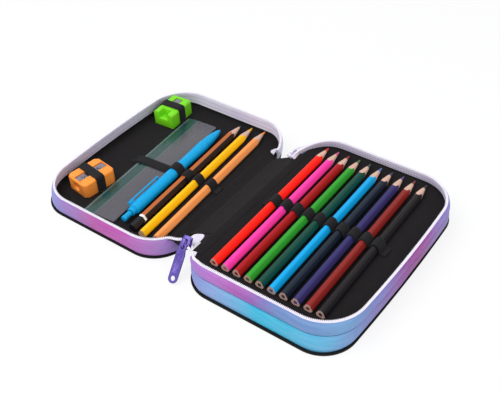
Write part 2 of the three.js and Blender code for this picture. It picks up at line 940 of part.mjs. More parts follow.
const pivotRise = sliderMouth / 2 + sliderPlate + bridgeRise / 2;
const barReach = Math.hypot(eyeBar, pullThickness) / 2;
const pivotForward = bridgeLength / 2 + bridgeForward - bridgeThickness - clear - barReach;

// Pull tab, hanging along -Y from its eye bar on the origin
function pullTab() {
  const half = pullWidth / 2;
  const neck = pullNeckWidth / 2;
  const eyeEnd = -eyeBar / 2 - eyeLength;
  const shoulder = eyeEnd - eyeBar / 2;
  const end = -pullLength + half;
  const shape = new THREE.Shape();
  shape.moveTo(-neck, eyeBar / 2);
  shape.lineTo(-neck, shoulder);
  shape.lineTo(-half, shoulder - half);
  shape.lineTo(-half, end);
  shape.absarc(0, end, half, Math.PI, 2 * Math.PI, false);
  shape.lineTo(half, shoulder - half);
  shape.lineTo(neck, shoulder);
  shape.lineTo(neck, eyeBar / 2);
  const eye = new THREE.Path([
    new THREE.Vector2(-eyeWidth / 2, -eyeBar / 2),
    new THREE.Vector2(eyeWidth / 2, -eyeBar / 2),
    new THREE.Vector2(eyeWidth / 2, eyeEnd),
    new THREE.Vector2(-eyeWidth / 2, eyeEnd),
  ]);
  const hole = new THREE.Path().absarc(0, end, pullHoleRadius, 0, 2 * Math.PI, true);
  shape.holes.push(eye, hole);
  const options = { depth: pullThickness, bevelEnabled: false, curveSegments: arcSteps };
  const tab = new THREE.ExtrudeGeometry(shape, options);
  tab.translate(0, 0, -pullThickness / 2);
  const panelStart = end + half + pullBorder;
  const panel = (side) => box(
    pullWidth - 3 * pullBorder,
    pullPanelLength,
    2 * pullPanelDepth,
    0,
    panelStart + pullPanelLength / 2,
    side * pullThickness / 2,
  );
  return cut(tab, panel(1), panel(-1));
}

// Pencils, butt at the start and point at the end of +Y, lying on their flat side

function triangleSection(grow = 0) {
  const radius = pencilCornerRadius + grow;
  return [Math.PI / 2, Math.PI * 7 / 6, Math.PI * 11 / 6].flatMap((direction) => {
    const x = pencilCentreReach * Math.cos(direction);
    const z = pencilCentreReach * Math.sin(direction);
    return Array.from({ length: pencilCornerSteps + 1 }, (_, i) => {
      const angle = direction + (2 * i / pencilCornerSteps - 1) * Math.PI / 3;
      return new THREE.Vector2(x + radius * Math.cos(angle), z + radius * Math.sin(angle));
    });
  });
}

const pencilAxisHeight = pencilCentreReach / 2 + pencilCornerRadius;

// The sharpened end: a cone that the square-cut barrel is turned down to
function sharpened(section, length, coneLength) {
  const reach = Math.max(...section.map((p) => p.length()));
  const barrel = bar(section, 0, length);
  const slope = (reach - pencilLeadTip) / coneLength;
  const envelope = turned([
    [0, -coneLength],
    [reach + slope * coneLength, -coneLength],
    [reach + slope * coneLength, length - 2 * coneLength],
    [pencilLeadTip, length],
    [0, length],
  ], 4 * pencilCornerSteps);
  return common(barrel, envelope);
}

function triangularPencil() {
  return sharpened(triangleSection(), pencilLength, pencilConeLength);
}

function hexagon(across) {
  const radius = across / Math.sqrt(3);
  return Array.from({ length: 6 }, (_, i) => {
    const angle = i * Math.PI / 3;
    return new THREE.Vector2(radius * Math.cos(angle), radius * Math.sin(angle));
  });
}

function graphitePencil() {
  const barrel = sharpened(hexagon(graphiteAcross), graphiteLength, graphiteConeLength);
  const cap = bar(hexagon(graphiteAcross + graphiteCapSwell), -graphiteCapSwell, graphiteCapLength);
  const ring = bar(
    hexagon(graphiteAcross + 2 * graphiteCapSwell),
    graphiteCapLength - graphiteCapSwell,
    graphiteRingLength,
  );
  return join(barrel, cap, ring);
}

// Elastic ribbon along X over what it holds. Each hump follows a section placed at its own x.
function humps(items, thickness, floor, from, to) {
  const outer = [new THREE.Vector2(from, floor + thickness)];
  const inner = [new THREE.Vector2(from, floor)];
  items.forEach(({ x, section, grow }) => {
    const over = (p, least) => new THREE.Vector2(x + p.x, Math.max(p.y, least) + floor);
    section(grow + thickness).forEach((p) => outer.push(over(p, thickness)));
    section(grow).forEach((p) => inner.push(over(p, 0)));
  });
  outer.push(new THREE.Vector2(to, floor + thickness));
  inner.push(new THREE.Vector2(to, floor));
  return [...outer, ...inner.reverse()];
}

// The upper side of a coloured pencil from left to right, standing on zero
function triangleHump(grow) {
  const points = triangleSection(grow).map((p) => new THREE.Vector2(p.x, p.y + pencilAxisHeight));
  const left = points.filter((p) => p.x < 0 && p.y < pencilAxisHeight).sort((a, b) => a.y - b.y);
  const topPoints = points.filter((p) => p.y > pencilAxisHeight).sort((a, b) => a.x - b.x);
  const right = points.filter((p) => p.x > 0 && p.y < pencilAxisHeight).sort((a, b) => b.y - a.y);
  const legLeft = left.filter((p) => p.y > grow / 2);
  const legRight = right.filter((p) => p.y > grow / 2);
  const foot = Math.max(...points.map((p) => p.x));
  return [new THREE.Vector2(-foot, 0), ...legLeft, ...topPoints, ...legRight, new THREE.Vector2(foot, 0)];
}

function roundHump(radius, height) {
  return (grow) => {
    const reach = radius + grow;
    const bend = Array.from({ length: arcSteps + 1 }, (_, i) => {
      const angle = Math.PI * (1 - i / arcSteps);
      return new THREE.Vector2(reach * Math.cos(angle), height + reach * Math.sin(angle));
    });
    return [new THREE.Vector2(-reach, 0), ...bend, new THREE.Vector2(reach, 0)];
  };
}

function boxHump(halfWidth, height) {
  return (grow) => [
    new THREE.Vector2(-halfWidth - grow, 0),
    new THREE.Vector2(-halfWidth - grow, height + grow),
    new THREE.Vector2(halfWidth + grow, height + grow),
    new THREE.Vector2(halfWidth + grow, 0),
  ];
}

// Deck set, in its own frame: x across the pencils, floor at zero

const deckPencilXs = deckPaints.map((_, i) => i * deckPencilPitch);

function deckElastic() {
  const items = deckPencilXs.map((x) => ({ x, section: triangleHump, grow: clear }));
  const reach = pencilCentreReach + pencilCornerRadius + elasticEnd;
  const lastX = deckPencilXs[deckPencilXs.length - 1];
  const band = humps(items, elasticThickness, clear, -reach, lastX + reach);
  return bar(band, deckElasticY - deckElasticWidth / 2, deckElasticWidth);
}

// Lid set, in its own frame: x grows towards the spine, and the orange pencil is at zero

const graphiteRadius = graphiteAcross / Math.sqrt(3);

function lidElastic() {
  const items = [
    { x: -rulerShift, section: boxHump(rulerWidth / 2, rulerThickness), grow: clear },
    { x: -penShift, section: roundHump(penRadius, penRadius), grow: clear },
    { x: -graphiteShift, section: roundHump(graphiteRadius, graphiteAcross / 2), grow: clear },
    { x: -yellowShift, section: triangleHump, grow: clear },
    { x: 0, section: triangleHump, grow: clear },
  ];
  const from = -rulerShift - rulerWidth / 2 - elasticEnd;
  const to = pencilCentreReach + pencilCornerRadius + elasticEnd;
  return bar(humps(items, elasticThickness, clear, from, to), -lidElasticWidth / 2, lidElasticWidth);
}

// Ball pen, plunger end at the start of +Y

function penBarrel() {
  const shell = turned([
    [0, 0],
    [penShoulderRadius - penPlungerRim, 0],
    [penShoulderRadius, penPlungerRim],
    [penShoulderRadius, penShoulderLength - penPlungerRim],
    [penRadius, penShoulderLength],
    [penRadius, penBarrelLength * penGripStartShare],
    [penGripRadius, penBarrelLength * penGripWaistShare],
    [penRadius, penBarrelLength - penPlungerRim],
    [penGripRadius, penBarrelLength],
    [0, penBarrelLength],
  ], penSides);
  const bore = turned([
    [0, -penPlungerLength],
    [penPlungerRadius + clear, -penPlungerLength],
    [penPlungerRadius + clear, penPlungerLength + clear],
    [0, penPlungerLength + clear],
  ], penSides);
  return cut(shell, bore);
}

function penPlunger() {
  return turned([
    [0, -penPlungerLength],
    [penPlungerRadius - penPlungerRim, -penPlungerLength],
    [penPlungerRadius, -penPlungerLength + penPlungerRim],
    [penPlungerRadius, penPlungerLength / 2],
    [0, penPlungerLength / 2],
  ], penSides);
}

function penNose() {
  const start = penBarrelLength + clear;
  return turned([
    [0, start],
    [penGripRadius, start],
    [penGripRadius - penPlungerRim / 2, start + penNoseLength * penNoseStraightShare],
    [penNoseTip, start + penNoseLength],
    [penRefillTip, start + penNoseLength],
    [penRefillTip, start + penNoseLength + penRefillReach],
    [0, start + penNoseLength + penRefillReach],
  ], penSides);
}

// The clip springs from the barrel's shoulder and lies along its top
function penClip() {
  const low = penRadius + clear;
  const start = penShoulderLength;
  return slabAcross([
    [start, low], [start + clipFoot, low], [start + clipFoot, low + clipLift],
    [start + clipLength - clipThickness, low + clipLift], [start + clipLength - clipThickness, low],
    [start + clipLength, low + clipThickness],
    [start + clipLength - clipThickness, low + clipLift + clipThickness],
    [start + clipThickness, low + clipLift + clipThickness], [start, low + clipLift],
  ], clipWidth);
}

// Ruler: a flat strip with rounded corners and one thin bevelled edge for the scale
function ruler() {
  const half = rulerWidth / 2;
  const strip = bar([
    new THREE.Vector2(-half, 0),
    new THREE.Vector2(half, 0),
    new THREE.Vector2(half, rulerThickness),
    new THREE.Vector2(-half + rulerBevel, rulerThickness),
    new THREE.Vector2(-half, rulerEdgeThickness),
  ], 0, rulerLength);
  const corners = new THREE.Shape();
  corners.moveTo(-half + rulerCorner, 0);
  corners.lineTo(half - rulerCorner, 0);
  corners.absarc(half - rulerCorner, rulerCorner, rulerCorner, -Math.PI / 2, 0, false);
  corners.absarc(half - rulerCorner, rulerLength - rulerCorner, rulerCorner, 0, Math.PI / 2, false);
  corners.absarc(-half + rulerCorner, rulerLength - rulerCorner, rulerCorner, Math.PI / 2, Math.PI, false);
  corners.absarc(-half + rulerCorner, rulerCorner, rulerCorner, Math.PI, Math.PI * 1.5, false);
  const options = { depth: 3 * rulerThickness, bevelEnabled: false, curveSegments: 2 };
  const blank = new THREE.ExtrudeGeometry(corners, options);
  blank.translate(0, 0, -rulerThickness);
  return common(strip, blank);
}

// Sharpeners, centred on X and Y and standing on zero

function sharpenerCone(height, reach, direction) {
  const cone = turned([
    [0, -clear],
    [sharpenerBore, -clear],
    [sharpenerBoreEnd, reach],
    [0, reach],
  ], 2 * arcSteps);
  cone.rotateZ(direction > 0 ? 0 : Math.PI);
  cone.translate(0, 0, height);
  return cone;
}

function bladePocketCut(height, y) {
  return box(bladePocketWidth, bladePocketLength, 2 * bladePocket, 0, y, height);
}

const orangeBladeY = orangeLength / 4;

function orangeSharpener() {
  const halfWidth = orangeWidth / 2;
  const halfLength = orangeLength / 2;
  const corner = orangeChamfer;
  const corners = [
    [-halfWidth + corner, -halfLength], [halfWidth - corner, -halfLength], [halfWidth, -halfLength + corner],
    [halfWidth, -corner], [halfWidth - orangeWaist, 0], [halfWidth, corner],
    [halfWidth, halfLength - corner], [halfWidth - corner, halfLength], [-halfWidth + corner, halfLength],
    [-halfWidth, halfLength - corner], [-halfWidth, corner], [-halfWidth + orangeWaist, 0],
    [-halfWidth, -corner], [-halfWidth, -halfLength + corner],
  ];
  const topShareX = 1 - 2 * orangeWaist / orangeWidth;
  const topShareY = 1 - 2 * orangeWaist / orangeLength;
  const topCorners = corners.map(([x, y]) => [x * topShareX, y * topShareY]);
  const sections = [
    [corners, 0],
    [corners, orangeHeight - orangeWaist],
    [topCorners, orangeHeight],
  ].map(([ring, z]) => ring.map(([x, y]) => point(x, y, z)));
  const body = loft(sections);
  const middle = orangeHeight / 2;
  const cones = [1, -1].map((side) => {
    const cone = sharpenerCone(middle, orangeLength / 2 - 2 * orangeWaist, side);
    cone.translate(0, -side * halfLength, 0);
    return cone;
  });
  const pockets = [1, -1].map((side) => bladePocketCut(orangeHeight, side * orangeBladeY));
  return cut(body, ...cones, ...pockets);
}

function greenSharpener() {
  const halfWidth = greenWidth / 2;
  const halfLength = greenLength / 2;
  const section = [
    new THREE.Vector2(-halfWidth, 0),
    new THREE.Vector2(halfWidth, 0),
    new THREE.Vector2(halfWidth, greenHeight - greenEdge),
    new THREE.Vector2(halfWidth - greenEdge, greenHeight),
    new THREE.Vector2(-halfWidth + greenEdge, greenHeight),
    new THREE.Vector2(-halfWidth, greenHeight - greenEdge),
  ];
  const body = bar(section, -halfLength, greenLength);
  const slot = box(
    greenSlotWidth,
    greenSlotLength + clear,
    2 * greenSlotDepth,
    0,
    -halfLength + greenSlotLength / 2,
    greenHeight,
  );
  const cone = sharpenerCone(greenHeight / 2, greenLength * greenBoreShare, -1);
  cone.translate(0, halfLength, 0);
  return cut(body, slot, cone, bladePocketCut(greenHeight, greenBladeY));
}

const greenBladeY = greenLength / 2 - bladePocketLength / 2 - 2 * greenEdge;

// The steel blade lies in the pocket under the strap's level, with a hole that the screw fills
function blade() {
  const half = bladeWidth / 2;
  const shape = new THREE.Shape([
    new THREE.Vector2(-half, -bladeLength / 2),
    new THREE.Vector2(half - bladeThickness, -bladeLength / 2),
    new THREE.Vector2(half, bladeLength / 2),
    new THREE.Vector2(-half, bladeLength / 2),
  ]);
  shape.holes.push(new THREE.Path().absarc(0, 0, screwRadius / 2 + clear, 0, 2 * Math.PI, true));
  const options = { depth: bladeThickness, bevelEnabled: false, curveSegments: arcSteps };
  return new THREE.ExtrudeGeometry(shape, options);
}

function screw() {
  const seat = bladeThickness + clear;
  const head = turned([
    [0, -clear / 2],
    [screwRadius / 2, -clear / 2],
    [screwRadius / 2, seat],
    [screwRadius, seat],
    [screwRadius * screwTopShare, seat + screwHeadHeight],
    [0, seat + screwHeadHeight],
  ], 2 * arcSteps);
  head.rotateX(Math.PI / 2);
  const slot = box(2 * screwRadius + clear, screwSlot, screwSlot, 0, 0, seat + screwHeadHeight);
  return cut(head, slot);
}

// A strap over a sharpener: two legs down to the lid's floor and a flat run over the top
function strap(halfWidth, height) {
  const reach = halfWidth + clear + elasticThickness + strapEnd;
  const items = [{ x: 0, section: boxHump(halfWidth, height), grow: clear }];
  return bar(humps(items, elasticThickness, clear, -reach, reach), -strapWidth / 2, strapWidth);
}

// Assembly

const object = new THREE.Group();

function add(parent, name, geometry, look) {
  const settings = materials[look] ?? { ...materials.lacquer, color: look };
  const mesh = new THREE.Mesh(geometry, new THREE.MeshStandardMaterial(settings));
  mesh.name = name;
  parent.add(mesh);
  return mesh;
}

function group(parent, x, y, z, turn = 0) {
  const holder = new THREE.Group();
  holder.position.set(x, y, z);
  holder.rotation.z = radians(turn);
  parent.add(holder);
  return holder;
}

// Lower tray
add(object, 'bottom_panel', bottomBoard(base), 'skyCloth');
add(object, 'base_piping', piping(base), 'piping');
add(object, 'lower_wall', lowerWall(), 'skyCloth');
add(object, 'lower_lining', lowerLining(), 'lining');
add(object, 'lower_zip_row_bottom', lowerRow(), 'hiddenTape');

// Upper deck
add(object, 'deck_board', deckBoard(), 'lining');
add(object, 'deck_lining', deckLining(), 'lining');
add(object, 'deck_wall', deckWall(), 'lilacCloth');
add(object, 'deck_zip_row', rimRow(base, deckRimHeight, deckFall, deckTapeHeight), 'tape');
add(object, 'lower_zip_row_top', upperRow(), 'hiddenTape');

// Lid
add(object, 'lid_panel', bottomBoard(lid), 'cloth');
add(object, 'lid_piping', piping(lid), 'piping');
add(object, 'lid_wall', lidWall(), 'cloth');
add(object, 'lid_lining', lidLining(), 'lining');
add(object, 'lid_zip_row', rimRow(lid, lidRimHeight, lidFall, lidTapeHeight), 'tape');
add(object, 'far_tape_end', farTapeEnd(), 'tape');

// Spine flap
const flap = group(object, foldLowX, 0, foldLowZ);
flap.rotation.y = -flapSlope;
add(flap, 'spine_board', flapBoard(), 'cloth');
add(flap, 'spine_lining', flapLining(), 'lining');
add(flap, 'near_tape_end', nearTapeEnd(), 'tape');

// Sliders and pulls
function zipPull(name, look, x, y, z, turn, tilt) {
  const tilted = group(object, x, y, z, turn);
  tilted.rotation.order = 'ZYX';
  tilted.rotation.x = radians(tilt);
  add(tilted, `${name}_slider`, sliderBody(), look);
  const pull = add(tilted, `${name}_pull`, pullTab(), look);
  pull.position.set(0, -pivotForward, pivotRise);
  pull.rotation.x = radians(pullDrop);
}

const upperSliderX = -sideX - upperSliderBeside;
const upperSliderY = upperSliderFromEnd - endY;
const lowerSliderX = -sideX - lowerSliderBeside;
const lowerSliderY = endY - lowerSliderFromEnd;
zipPull('upper', 'purpleMetal', upperSliderX, upperSliderY, upperSliderZ, upperSliderTurn, upperSliderTilt);
zipPull('lower', 'paleMetal', lowerSliderX, lowerSliderY, lowerSliderZ, lowerSliderTurn, lowerSliderTilt);

// Deck set
const deckSet = group(object, deckPencilFromSpine - sideX, 0, deckFloor, deckSetTurn);
deckPaints.forEach(([name, paint], i) => {
  const pencil = add(deckSet, name, triangularPencil(), paint);
  pencil.position.set(deckPencilXs[i], deckPencilFromEnd - endY, clear + pencilAxisHeight);
});
add(deckSet, 'deck_elastic', deckElastic(), 'elastic');

// Lid set
const lidSet = group(object, -sideX - lidSetFromSpine, 0, lidFloorHeight, lidSetTurn);
add(lidSet, 'lid_elastic', lidElastic(), 'elastic');
const peach = add(lidSet, 'pencil_orange', triangularPencil(), 0xffa45c);
peach.position.set(0, orangePencilFromEnd - endY, clear + pencilAxisHeight);
const yellow = add(lidSet, 'pencil_yellow', triangularPencil(), 0xffbe00);
yellow.position.set(-yellowShift, yellowFromEnd - endY, clear + pencilAxisHeight);
const graphite = add(lidSet, 'graphite_pencil', graphitePencil(), 0xe0662a);
graphite.position.set(-graphiteShift, graphiteFromEnd - endY, clear + graphiteAcross / 2);
const pen = group(lidSet, -penShift, penFromEnd + penPlungerLength - endY, clear + penRadius);
pen.rotation.y = -radians(clipTurn);
add(pen, 'pen_barrel', penBarrel(), 'penPlastic');
add(pen, 'pen_plunger', penPlunger(), 'penPlastic');
add(pen, 'pen_nose', penNose(), 'penPlastic');
add(pen, 'pen_clip', penClip(), 'penPlastic');
const rulerHolder = add(lidSet, 'ruler', ruler(), 'clearPlastic');
rulerHolder.position.set(-rulerShift, rulerFromEnd - endY, clear);

// Sharpeners
const orangeSet = group(object, lidSideX + orangeFromSide, orangeFromEnd - endY, lidFloorHeight, orangeTurn);
const orangeBody = add(orangeSet, 'orange_sharpener', orangeSharpener(), 'orangePlastic');
orangeBody.position.z = clear;
add(orangeSet, 'orange_strap', strap(orangeWidth / 2, orangeHeight), 'elastic');
const orangeSeatZ = 2 * clear + orangeHeight - bladePocket;
[['near', -1], ['far', 1]].forEach(([end, side]) => {
  const seat = group(orangeSet, 0, side * orangeBladeY, orangeSeatZ, side * bladeLean);
  add(seat, `orange_blade_${end}`, blade(), 'steel');
  add(seat, `orange_screw_${end}`, screw(), 'steel');
});

const greenSet = group(object, lidSideX + greenFromSide, endY - greenFromEnd, lidFloorHeight, greenTurn);
const greenBody = add(greenSet, 'green_sharpener', greenSharpener(), 'greenPlastic');
greenBody.position.z = clear;
add(greenSet, 'green_strap', strap(greenWidth / 2, greenHeight), 'elastic');
const greenSeat = group(greenSet, 0, greenBladeY, 2 * clear + greenHeight - bladePocket, bladeLean);
add(greenSeat, 'green_blade', blade(), 'steel');
add(greenSeat, 'green_screw', screw(), 'steel');

export default object;
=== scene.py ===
# %% [markdown]
# # An open double-decker pencil case
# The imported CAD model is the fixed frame. This lesson dresses it: the printed cloth walls, the black lining,
# the zip tapes with their teeth, and the pencils and tools get the shapes and finishes of the real ones.
# Everything is in metres, in the frame's own axes; the shape code below thinks in millimetres, like a maker.

# %% The frame
import json
import math

import bmesh
import bpy
import numpy as np
from mathutils import Matrix, Vector, noise

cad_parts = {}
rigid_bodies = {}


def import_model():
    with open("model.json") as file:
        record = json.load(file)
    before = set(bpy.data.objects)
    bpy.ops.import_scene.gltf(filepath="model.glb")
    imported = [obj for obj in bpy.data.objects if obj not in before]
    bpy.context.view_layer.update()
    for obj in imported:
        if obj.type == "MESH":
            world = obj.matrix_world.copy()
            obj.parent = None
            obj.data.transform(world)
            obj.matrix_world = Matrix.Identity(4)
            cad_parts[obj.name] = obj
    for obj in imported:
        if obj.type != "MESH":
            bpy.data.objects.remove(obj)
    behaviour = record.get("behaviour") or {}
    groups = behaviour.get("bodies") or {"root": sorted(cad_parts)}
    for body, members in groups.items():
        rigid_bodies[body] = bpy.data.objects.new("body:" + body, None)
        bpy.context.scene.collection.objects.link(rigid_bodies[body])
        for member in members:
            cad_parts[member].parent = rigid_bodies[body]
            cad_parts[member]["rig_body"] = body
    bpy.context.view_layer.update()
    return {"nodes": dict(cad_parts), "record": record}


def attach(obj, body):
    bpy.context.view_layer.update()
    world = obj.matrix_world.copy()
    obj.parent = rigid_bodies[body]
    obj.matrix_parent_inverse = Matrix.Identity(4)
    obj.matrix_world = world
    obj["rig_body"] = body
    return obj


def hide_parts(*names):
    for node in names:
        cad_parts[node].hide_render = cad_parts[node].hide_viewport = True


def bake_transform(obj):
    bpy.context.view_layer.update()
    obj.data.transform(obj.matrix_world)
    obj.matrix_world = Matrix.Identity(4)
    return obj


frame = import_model()
body_of_node = {
    node: body
    for body, nodes in frame["record"]["behaviour"]["bodies"].items()
    for node in nodes
}
MM = 0.001

# %% [markdown]
# ## The camera
# The camera stands where the photographer stood. Its place was fitted by least squares to points picked in
# the picture on the rims, the feet and the pencils' ends, with the sizes of the case held. The answer is
# typed here, so the view is the same on every run.

# %% Camera
eye = Vector((254.989, -419.584, 480.641)) * MM
yaw, pitch, roll = 0.6721, 0.728, -0.0579
focal_pixels, picture_width = 806.49, 500
sensor_width = 36

ahead = Vector((-math.sin(yaw) * math.cos(pitch), math.cos(yaw) * math.cos(pitch), -math.sin(pitch)))
level = Vector((math.cos(yaw), math.sin(yaw), 0))
above = level.cross(ahead)
right_side = level * math.cos(roll) + above * math.sin(roll)
top_side = above * math.cos(roll) - level * math.sin(roll)

lens = bpy.data.cameras.new("photographer")
lens.sensor_width = sensor_width
lens.lens = focal_pixels / picture_width * sensor_width
camera = bpy.data.objects.new("photographer", lens)
bpy.context.scene.collection.objects.link(camera)
camera.matrix_world = Matrix.Translation(eye) @ Matrix((right_side, top_side, -ahead)).transposed().to_4x4()
bpy.context.scene.camera = camera
print("camera: lens", round(lens.lens, 2), "mm")

# %% [markdown]
# ## Finishes, from nodes
# A finish is a small graph of nodes. Writing each graph by hand would repeat a lot, so one class feeds nodes,
# and another adds the few steps that the finishes share: noise, ramps and a bump. A value that is the same
# all over is typed on the shader's own socket; only what varies over the surface is linked.

# %% Colours and a class for graphs


def paint(code):
    """A colour written as in a paint chart, #rrggbb, as the linear numbers that the shader wants."""
    parts = [int(code[i : i + 2], 16) / 255 for i in (1, 3, 5)]
    linear = [c / 12.92 if c <= 0.04045 else ((c + 0.055) / 1.055) ** 2.4 for c in parts]
    return (*linear, 1.0)


class Graph:
    """Nodes whose sockets are typed, or linked when the value is another node's output."""

    def __init__(self, tree):
        self.tree = tree

    def feed(self, node, sockets):
        for key, value in sockets.items():
            if isinstance(value, bpy.types.NodeSocket):
                self.tree.links.new(value, node.inputs[key])
            else:
                node.inputs[key].default_value = value

    def add(self, kind, sockets=(), **settings):
        node = self.tree.nodes.new(kind)
        for key, value in settings.items():
            setattr(node, key, value)
        self.feed(node, dict(sockets))
        return node

    def math(self, operation, *values):
        return self.add("ShaderNodeMath", dict(enumerate(values)), operation=operation).outputs[0]


print("mid grey, #808080, is", round(paint("#808080")[0], 3), "for the shader")


# %% A class for finishes


class Finish(Graph):
    """A material, with the steps that many finishes share."""

    def __init__(self, name, colour, **sockets):
        self.material = bpy.data.materials.new(name)
        self.material.use_nodes = True
        super().__init__(self.material.node_tree)
        self.surface = self.tree.nodes["Principled BSDF"]
        self.feed(self.surface, {"Base Color": paint(colour)})
        self.feed(self.surface, {key.replace("_", " "): value for key, value in sockets.items()})
        self.place = self.add("ShaderNodeTexCoord").outputs["Object"]
        self.x, self.y, self.z = self.add("ShaderNodeSeparateXYZ", {0: self.place}).outputs

    def noise(self, grain, detail=3.0, stretch=(1, 1, 1)):
        """Noise with blotches about grain millimetres across, longer along an axis with a small stretch."""
        spread = self.add("ShaderNodeMapping", {"Vector": self.place, "Scale": stretch}).outputs[0]
        sockets = {"Vector": spread, "Scale": 1 / (grain * MM), "Detail": detail}
        return self.add("ShaderNodeTexNoise", sockets).outputs["Fac"]

    def wave(self, direction, pitch):
        """Ridges that repeat every pitch millimetres along an axis."""
        sockets = {"Vector": self.place, "Scale": math.pi / 10 / (pitch * MM)}
        node = self.add("ShaderNodeTexWave", sockets, bands_direction=direction, wave_profile="SIN")
        return node.outputs["Fac"]

    def ramp(self, factor, stops):
        """A colour ramp from (place, colour) stops."""
        node = self.add("ShaderNodeValToRGB", {"Fac": factor})
        band = node.color_ramp
        while len(band.elements) < len(stops):
            band.elements.new(1.0)
        for element, (place, colour) in zip(band.elements, stops):
            element.position = place
            element.color = paint(colour) if isinstance(colour, str) else (colour, colour, colour, 1)
        return node.outputs["Color"]

    def mix(self, factor, a, b):
        node = self.add("ShaderNodeMix", data_type="RGBA")
        self.feed(node, {0: factor, 6: a, 7: b})
        return node.outputs[2]

    def colour(self, value):
        self.feed(self.surface, {"Base Color": value})
        return self

    def rough(self, factor, low, high):
        """Roughness that wanders between two values."""
        ranged = self.add("ShaderNodeMapRange", {"Value": factor, "To Min": low, "To Max": high})
        self.feed(self.surface, {"Roughness": ranged.outputs[0]})
        return self

    def bump(self, height, depth):
        """Relief depth millimetres high."""
        node = self.add("ShaderNodeBump", {"Height": height, "Distance": depth * MM, "Strength": 1.0})
        self.feed(self.surface, {"Normal": node.outputs[0]})
        return self


def weave(finish, pitch):
    """The height of a plain weave: threads along all three axes, so it shows on walls and floors alike."""
    along = finish.math("ADD", finish.wave("X", pitch), finish.wave("Y", pitch))
    return finish.math("ADD", along, finish.wave("Z", pitch))


print("steps of a finish: noise, wave, ramp, mix, colour, rough, bump and weave")

# %% [markdown]
# ## The printed cloth
# The outside is a satin cloth printed with one soft rainbow that runs round the case: magenta, violet, blue
# and cyan melt into each other. The case is a ring, so the print is a colour ramp over the angle round its
# middle. Near the middle of the flat lid and bottom the ring would meet in a point, so slanting bands take
# over there. The lower tray, the upper deck and the lid were cut from different places of the print, so each
# has its own ramp. A fine weave gives the relief and a little sheen gives the satin look.

# %% Printed cloth
MIDDLE_PRINT = [
    (0.2, "#a24ea6"), (0.38, "#8a74be"), (0.52, "#7094cc"),
    (0.66, "#5cb0d8"), (0.8, "#8e84c8"), (0.95, "#ac6cbe"),
]
MIDDLE_REACH, RING_REACH = 20.0, 78.0


def printed_shade(finish, middle_x, stops):
    """The rainbow round a middle, with the fine streaks that the dye leaves along the cloth."""
    across = finish.math("SUBTRACT", finish.x, middle_x * MM)
    turn = finish.math("ARCTAN2", finish.y, across)
    share = finish.math("MULTIPLY_ADD", turn, 1 / math.tau, 0.5)
    melt = finish.math("MULTIPLY_ADD", finish.noise(34.0), 0.05, -0.025)
    ring_print = finish.ramp(finish.math("ADD", share, melt), stops)
    slant = finish.math("ADD", finish.math("MULTIPLY", across, 3.2), finish.math("MULTIPLY", finish.y, -2.6))
    drift = finish.math("ADD", slant, finish.math("MULTIPLY", finish.noise(90.0, 1.0), 1.3))
    squares = [finish.math("MULTIPLY", value, value) for value in (across, finish.y)]
    distance = finish.math("SQRT", finish.math("ADD", *squares))
    reach = {"Value": distance, "From Min": MIDDLE_REACH * MM, "From Max": RING_REACH * MM}
    outward = finish.add("ShaderNodeMapRange", reach, interpolation_type="SMOOTHSTEP").outputs[0]
    both_prints = finish.mix(outward, finish.ramp(drift, MIDDLE_PRINT), ring_print)
    streaks = finish.ramp(finish.noise(2.4, 4.0, (0.1, 0.1, 1)), [(0.35, 0.0), (0.7, 1.0)])
    return finish.mix(finish.math("MULTIPLY", streaks, 0.08), both_prints, paint("#e8e4f4"))


def printed_cloth(name, middle_x, stops):
    finish = Finish(name, "#9a8fe0", Roughness=0.62, Specular_IOR_Level=0.3, Sheen_Weight=0.06,
                    Sheen_Roughness=0.4)
    finish.colour(printed_shade(finish, middle_x, stops))
    return finish.rough(finish.noise(2.2, 4.0), 0.5, 0.72).bump(weave(finish, 0.55), 0.05).material


LID_MIDDLE_X = -174.0
DECK_PRINT = [
    (0.0, "#a98fd8"), (0.12, "#9a7ccc"), (0.19, "#ac68bc"), (0.22, "#a652ac"), (0.25, "#925aae"),
    (0.29, "#6682ba"), (0.36, "#6498c6"), (0.42, "#7a74bc"), (0.50, "#943e98"), (0.545, "#963892"),
    (0.60, "#8a74c0"), (0.74, "#64aedc"), (0.91, "#ac6cbe"), (1.0, "#a98fd8"),
]
deck_cloth = printed_cloth("deck_cloth", 0.0, DECK_PRINT)
tray_cloth = printed_cloth("tray_cloth", 0.0, [
    (0.0, "#9490d6"), (0.15, "#7e80c8"), (0.19, "#82a0d2"), (0.26, "#20b0d2"), (0.30, "#3caecf"),
    (0.34, "#5eacd4"), (0.40, "#7a7cba"), (0.48, "#8c529e"), (0.54, "#903e8c"), (0.60, "#8a70b0"),
    (0.76, "#44b0d4"), (0.92, "#a478c6"), (1.0, "#9490d6"),
])
# The pale stops at 0.55 and 0.62 are partly the print's pale part and partly painted light: they are made
# lighter still, which lifts the shaded far corner of the lid wall beside the spine.
lid_cloth = printed_cloth("lid_cloth", LID_MIDDLE_X, [
    (0.0, "#7aaadc"), (0.12, "#7890d2"), (0.18, "#8a84cc"), (0.22, "#a06bb3"), (0.25, "#b24da2"),
    (0.29, "#b849a9"), (0.335, "#aa6fb8"), (0.40, "#9086cc"), (0.55, "#b4c8e6"), (0.62, "#e0e4f0"),
    (0.70, "#98bee2"), (0.88, "#b06cc4"), (1.0, "#7aaadc"),
])
print("printed cloths: 3")

# %% [markdown]
# ## Black lining, piping, elastic and tape
# The inside is a matt black polyester. In the photograph it isn't a pure black: it catches a little light
# on its threads. The piping round both feet is a denser black braid. The elastic shows ribs across its
# width. The zip tapes are white, with a breath of the lilac print near them.

# %% Plain textiles
lining_cloth = Finish("black_lining", "#151216", Roughness=0.9, Specular_IOR_Level=0.2, Sheen_Weight=0.02)
lining_shade = lining_cloth.mix(lining_cloth.noise(9.0, 4.0), paint("#0f0d0f"), paint("#181517"))
lining_cloth.colour(lining_shade).bump(weave(lining_cloth, 0.7), 0.07)

piping_braid = Finish("black_piping", "#08080b", Roughness=0.75, Specular_IOR_Level=0.2)
piping_braid.bump(weave(piping_braid, 0.8), 0.12)

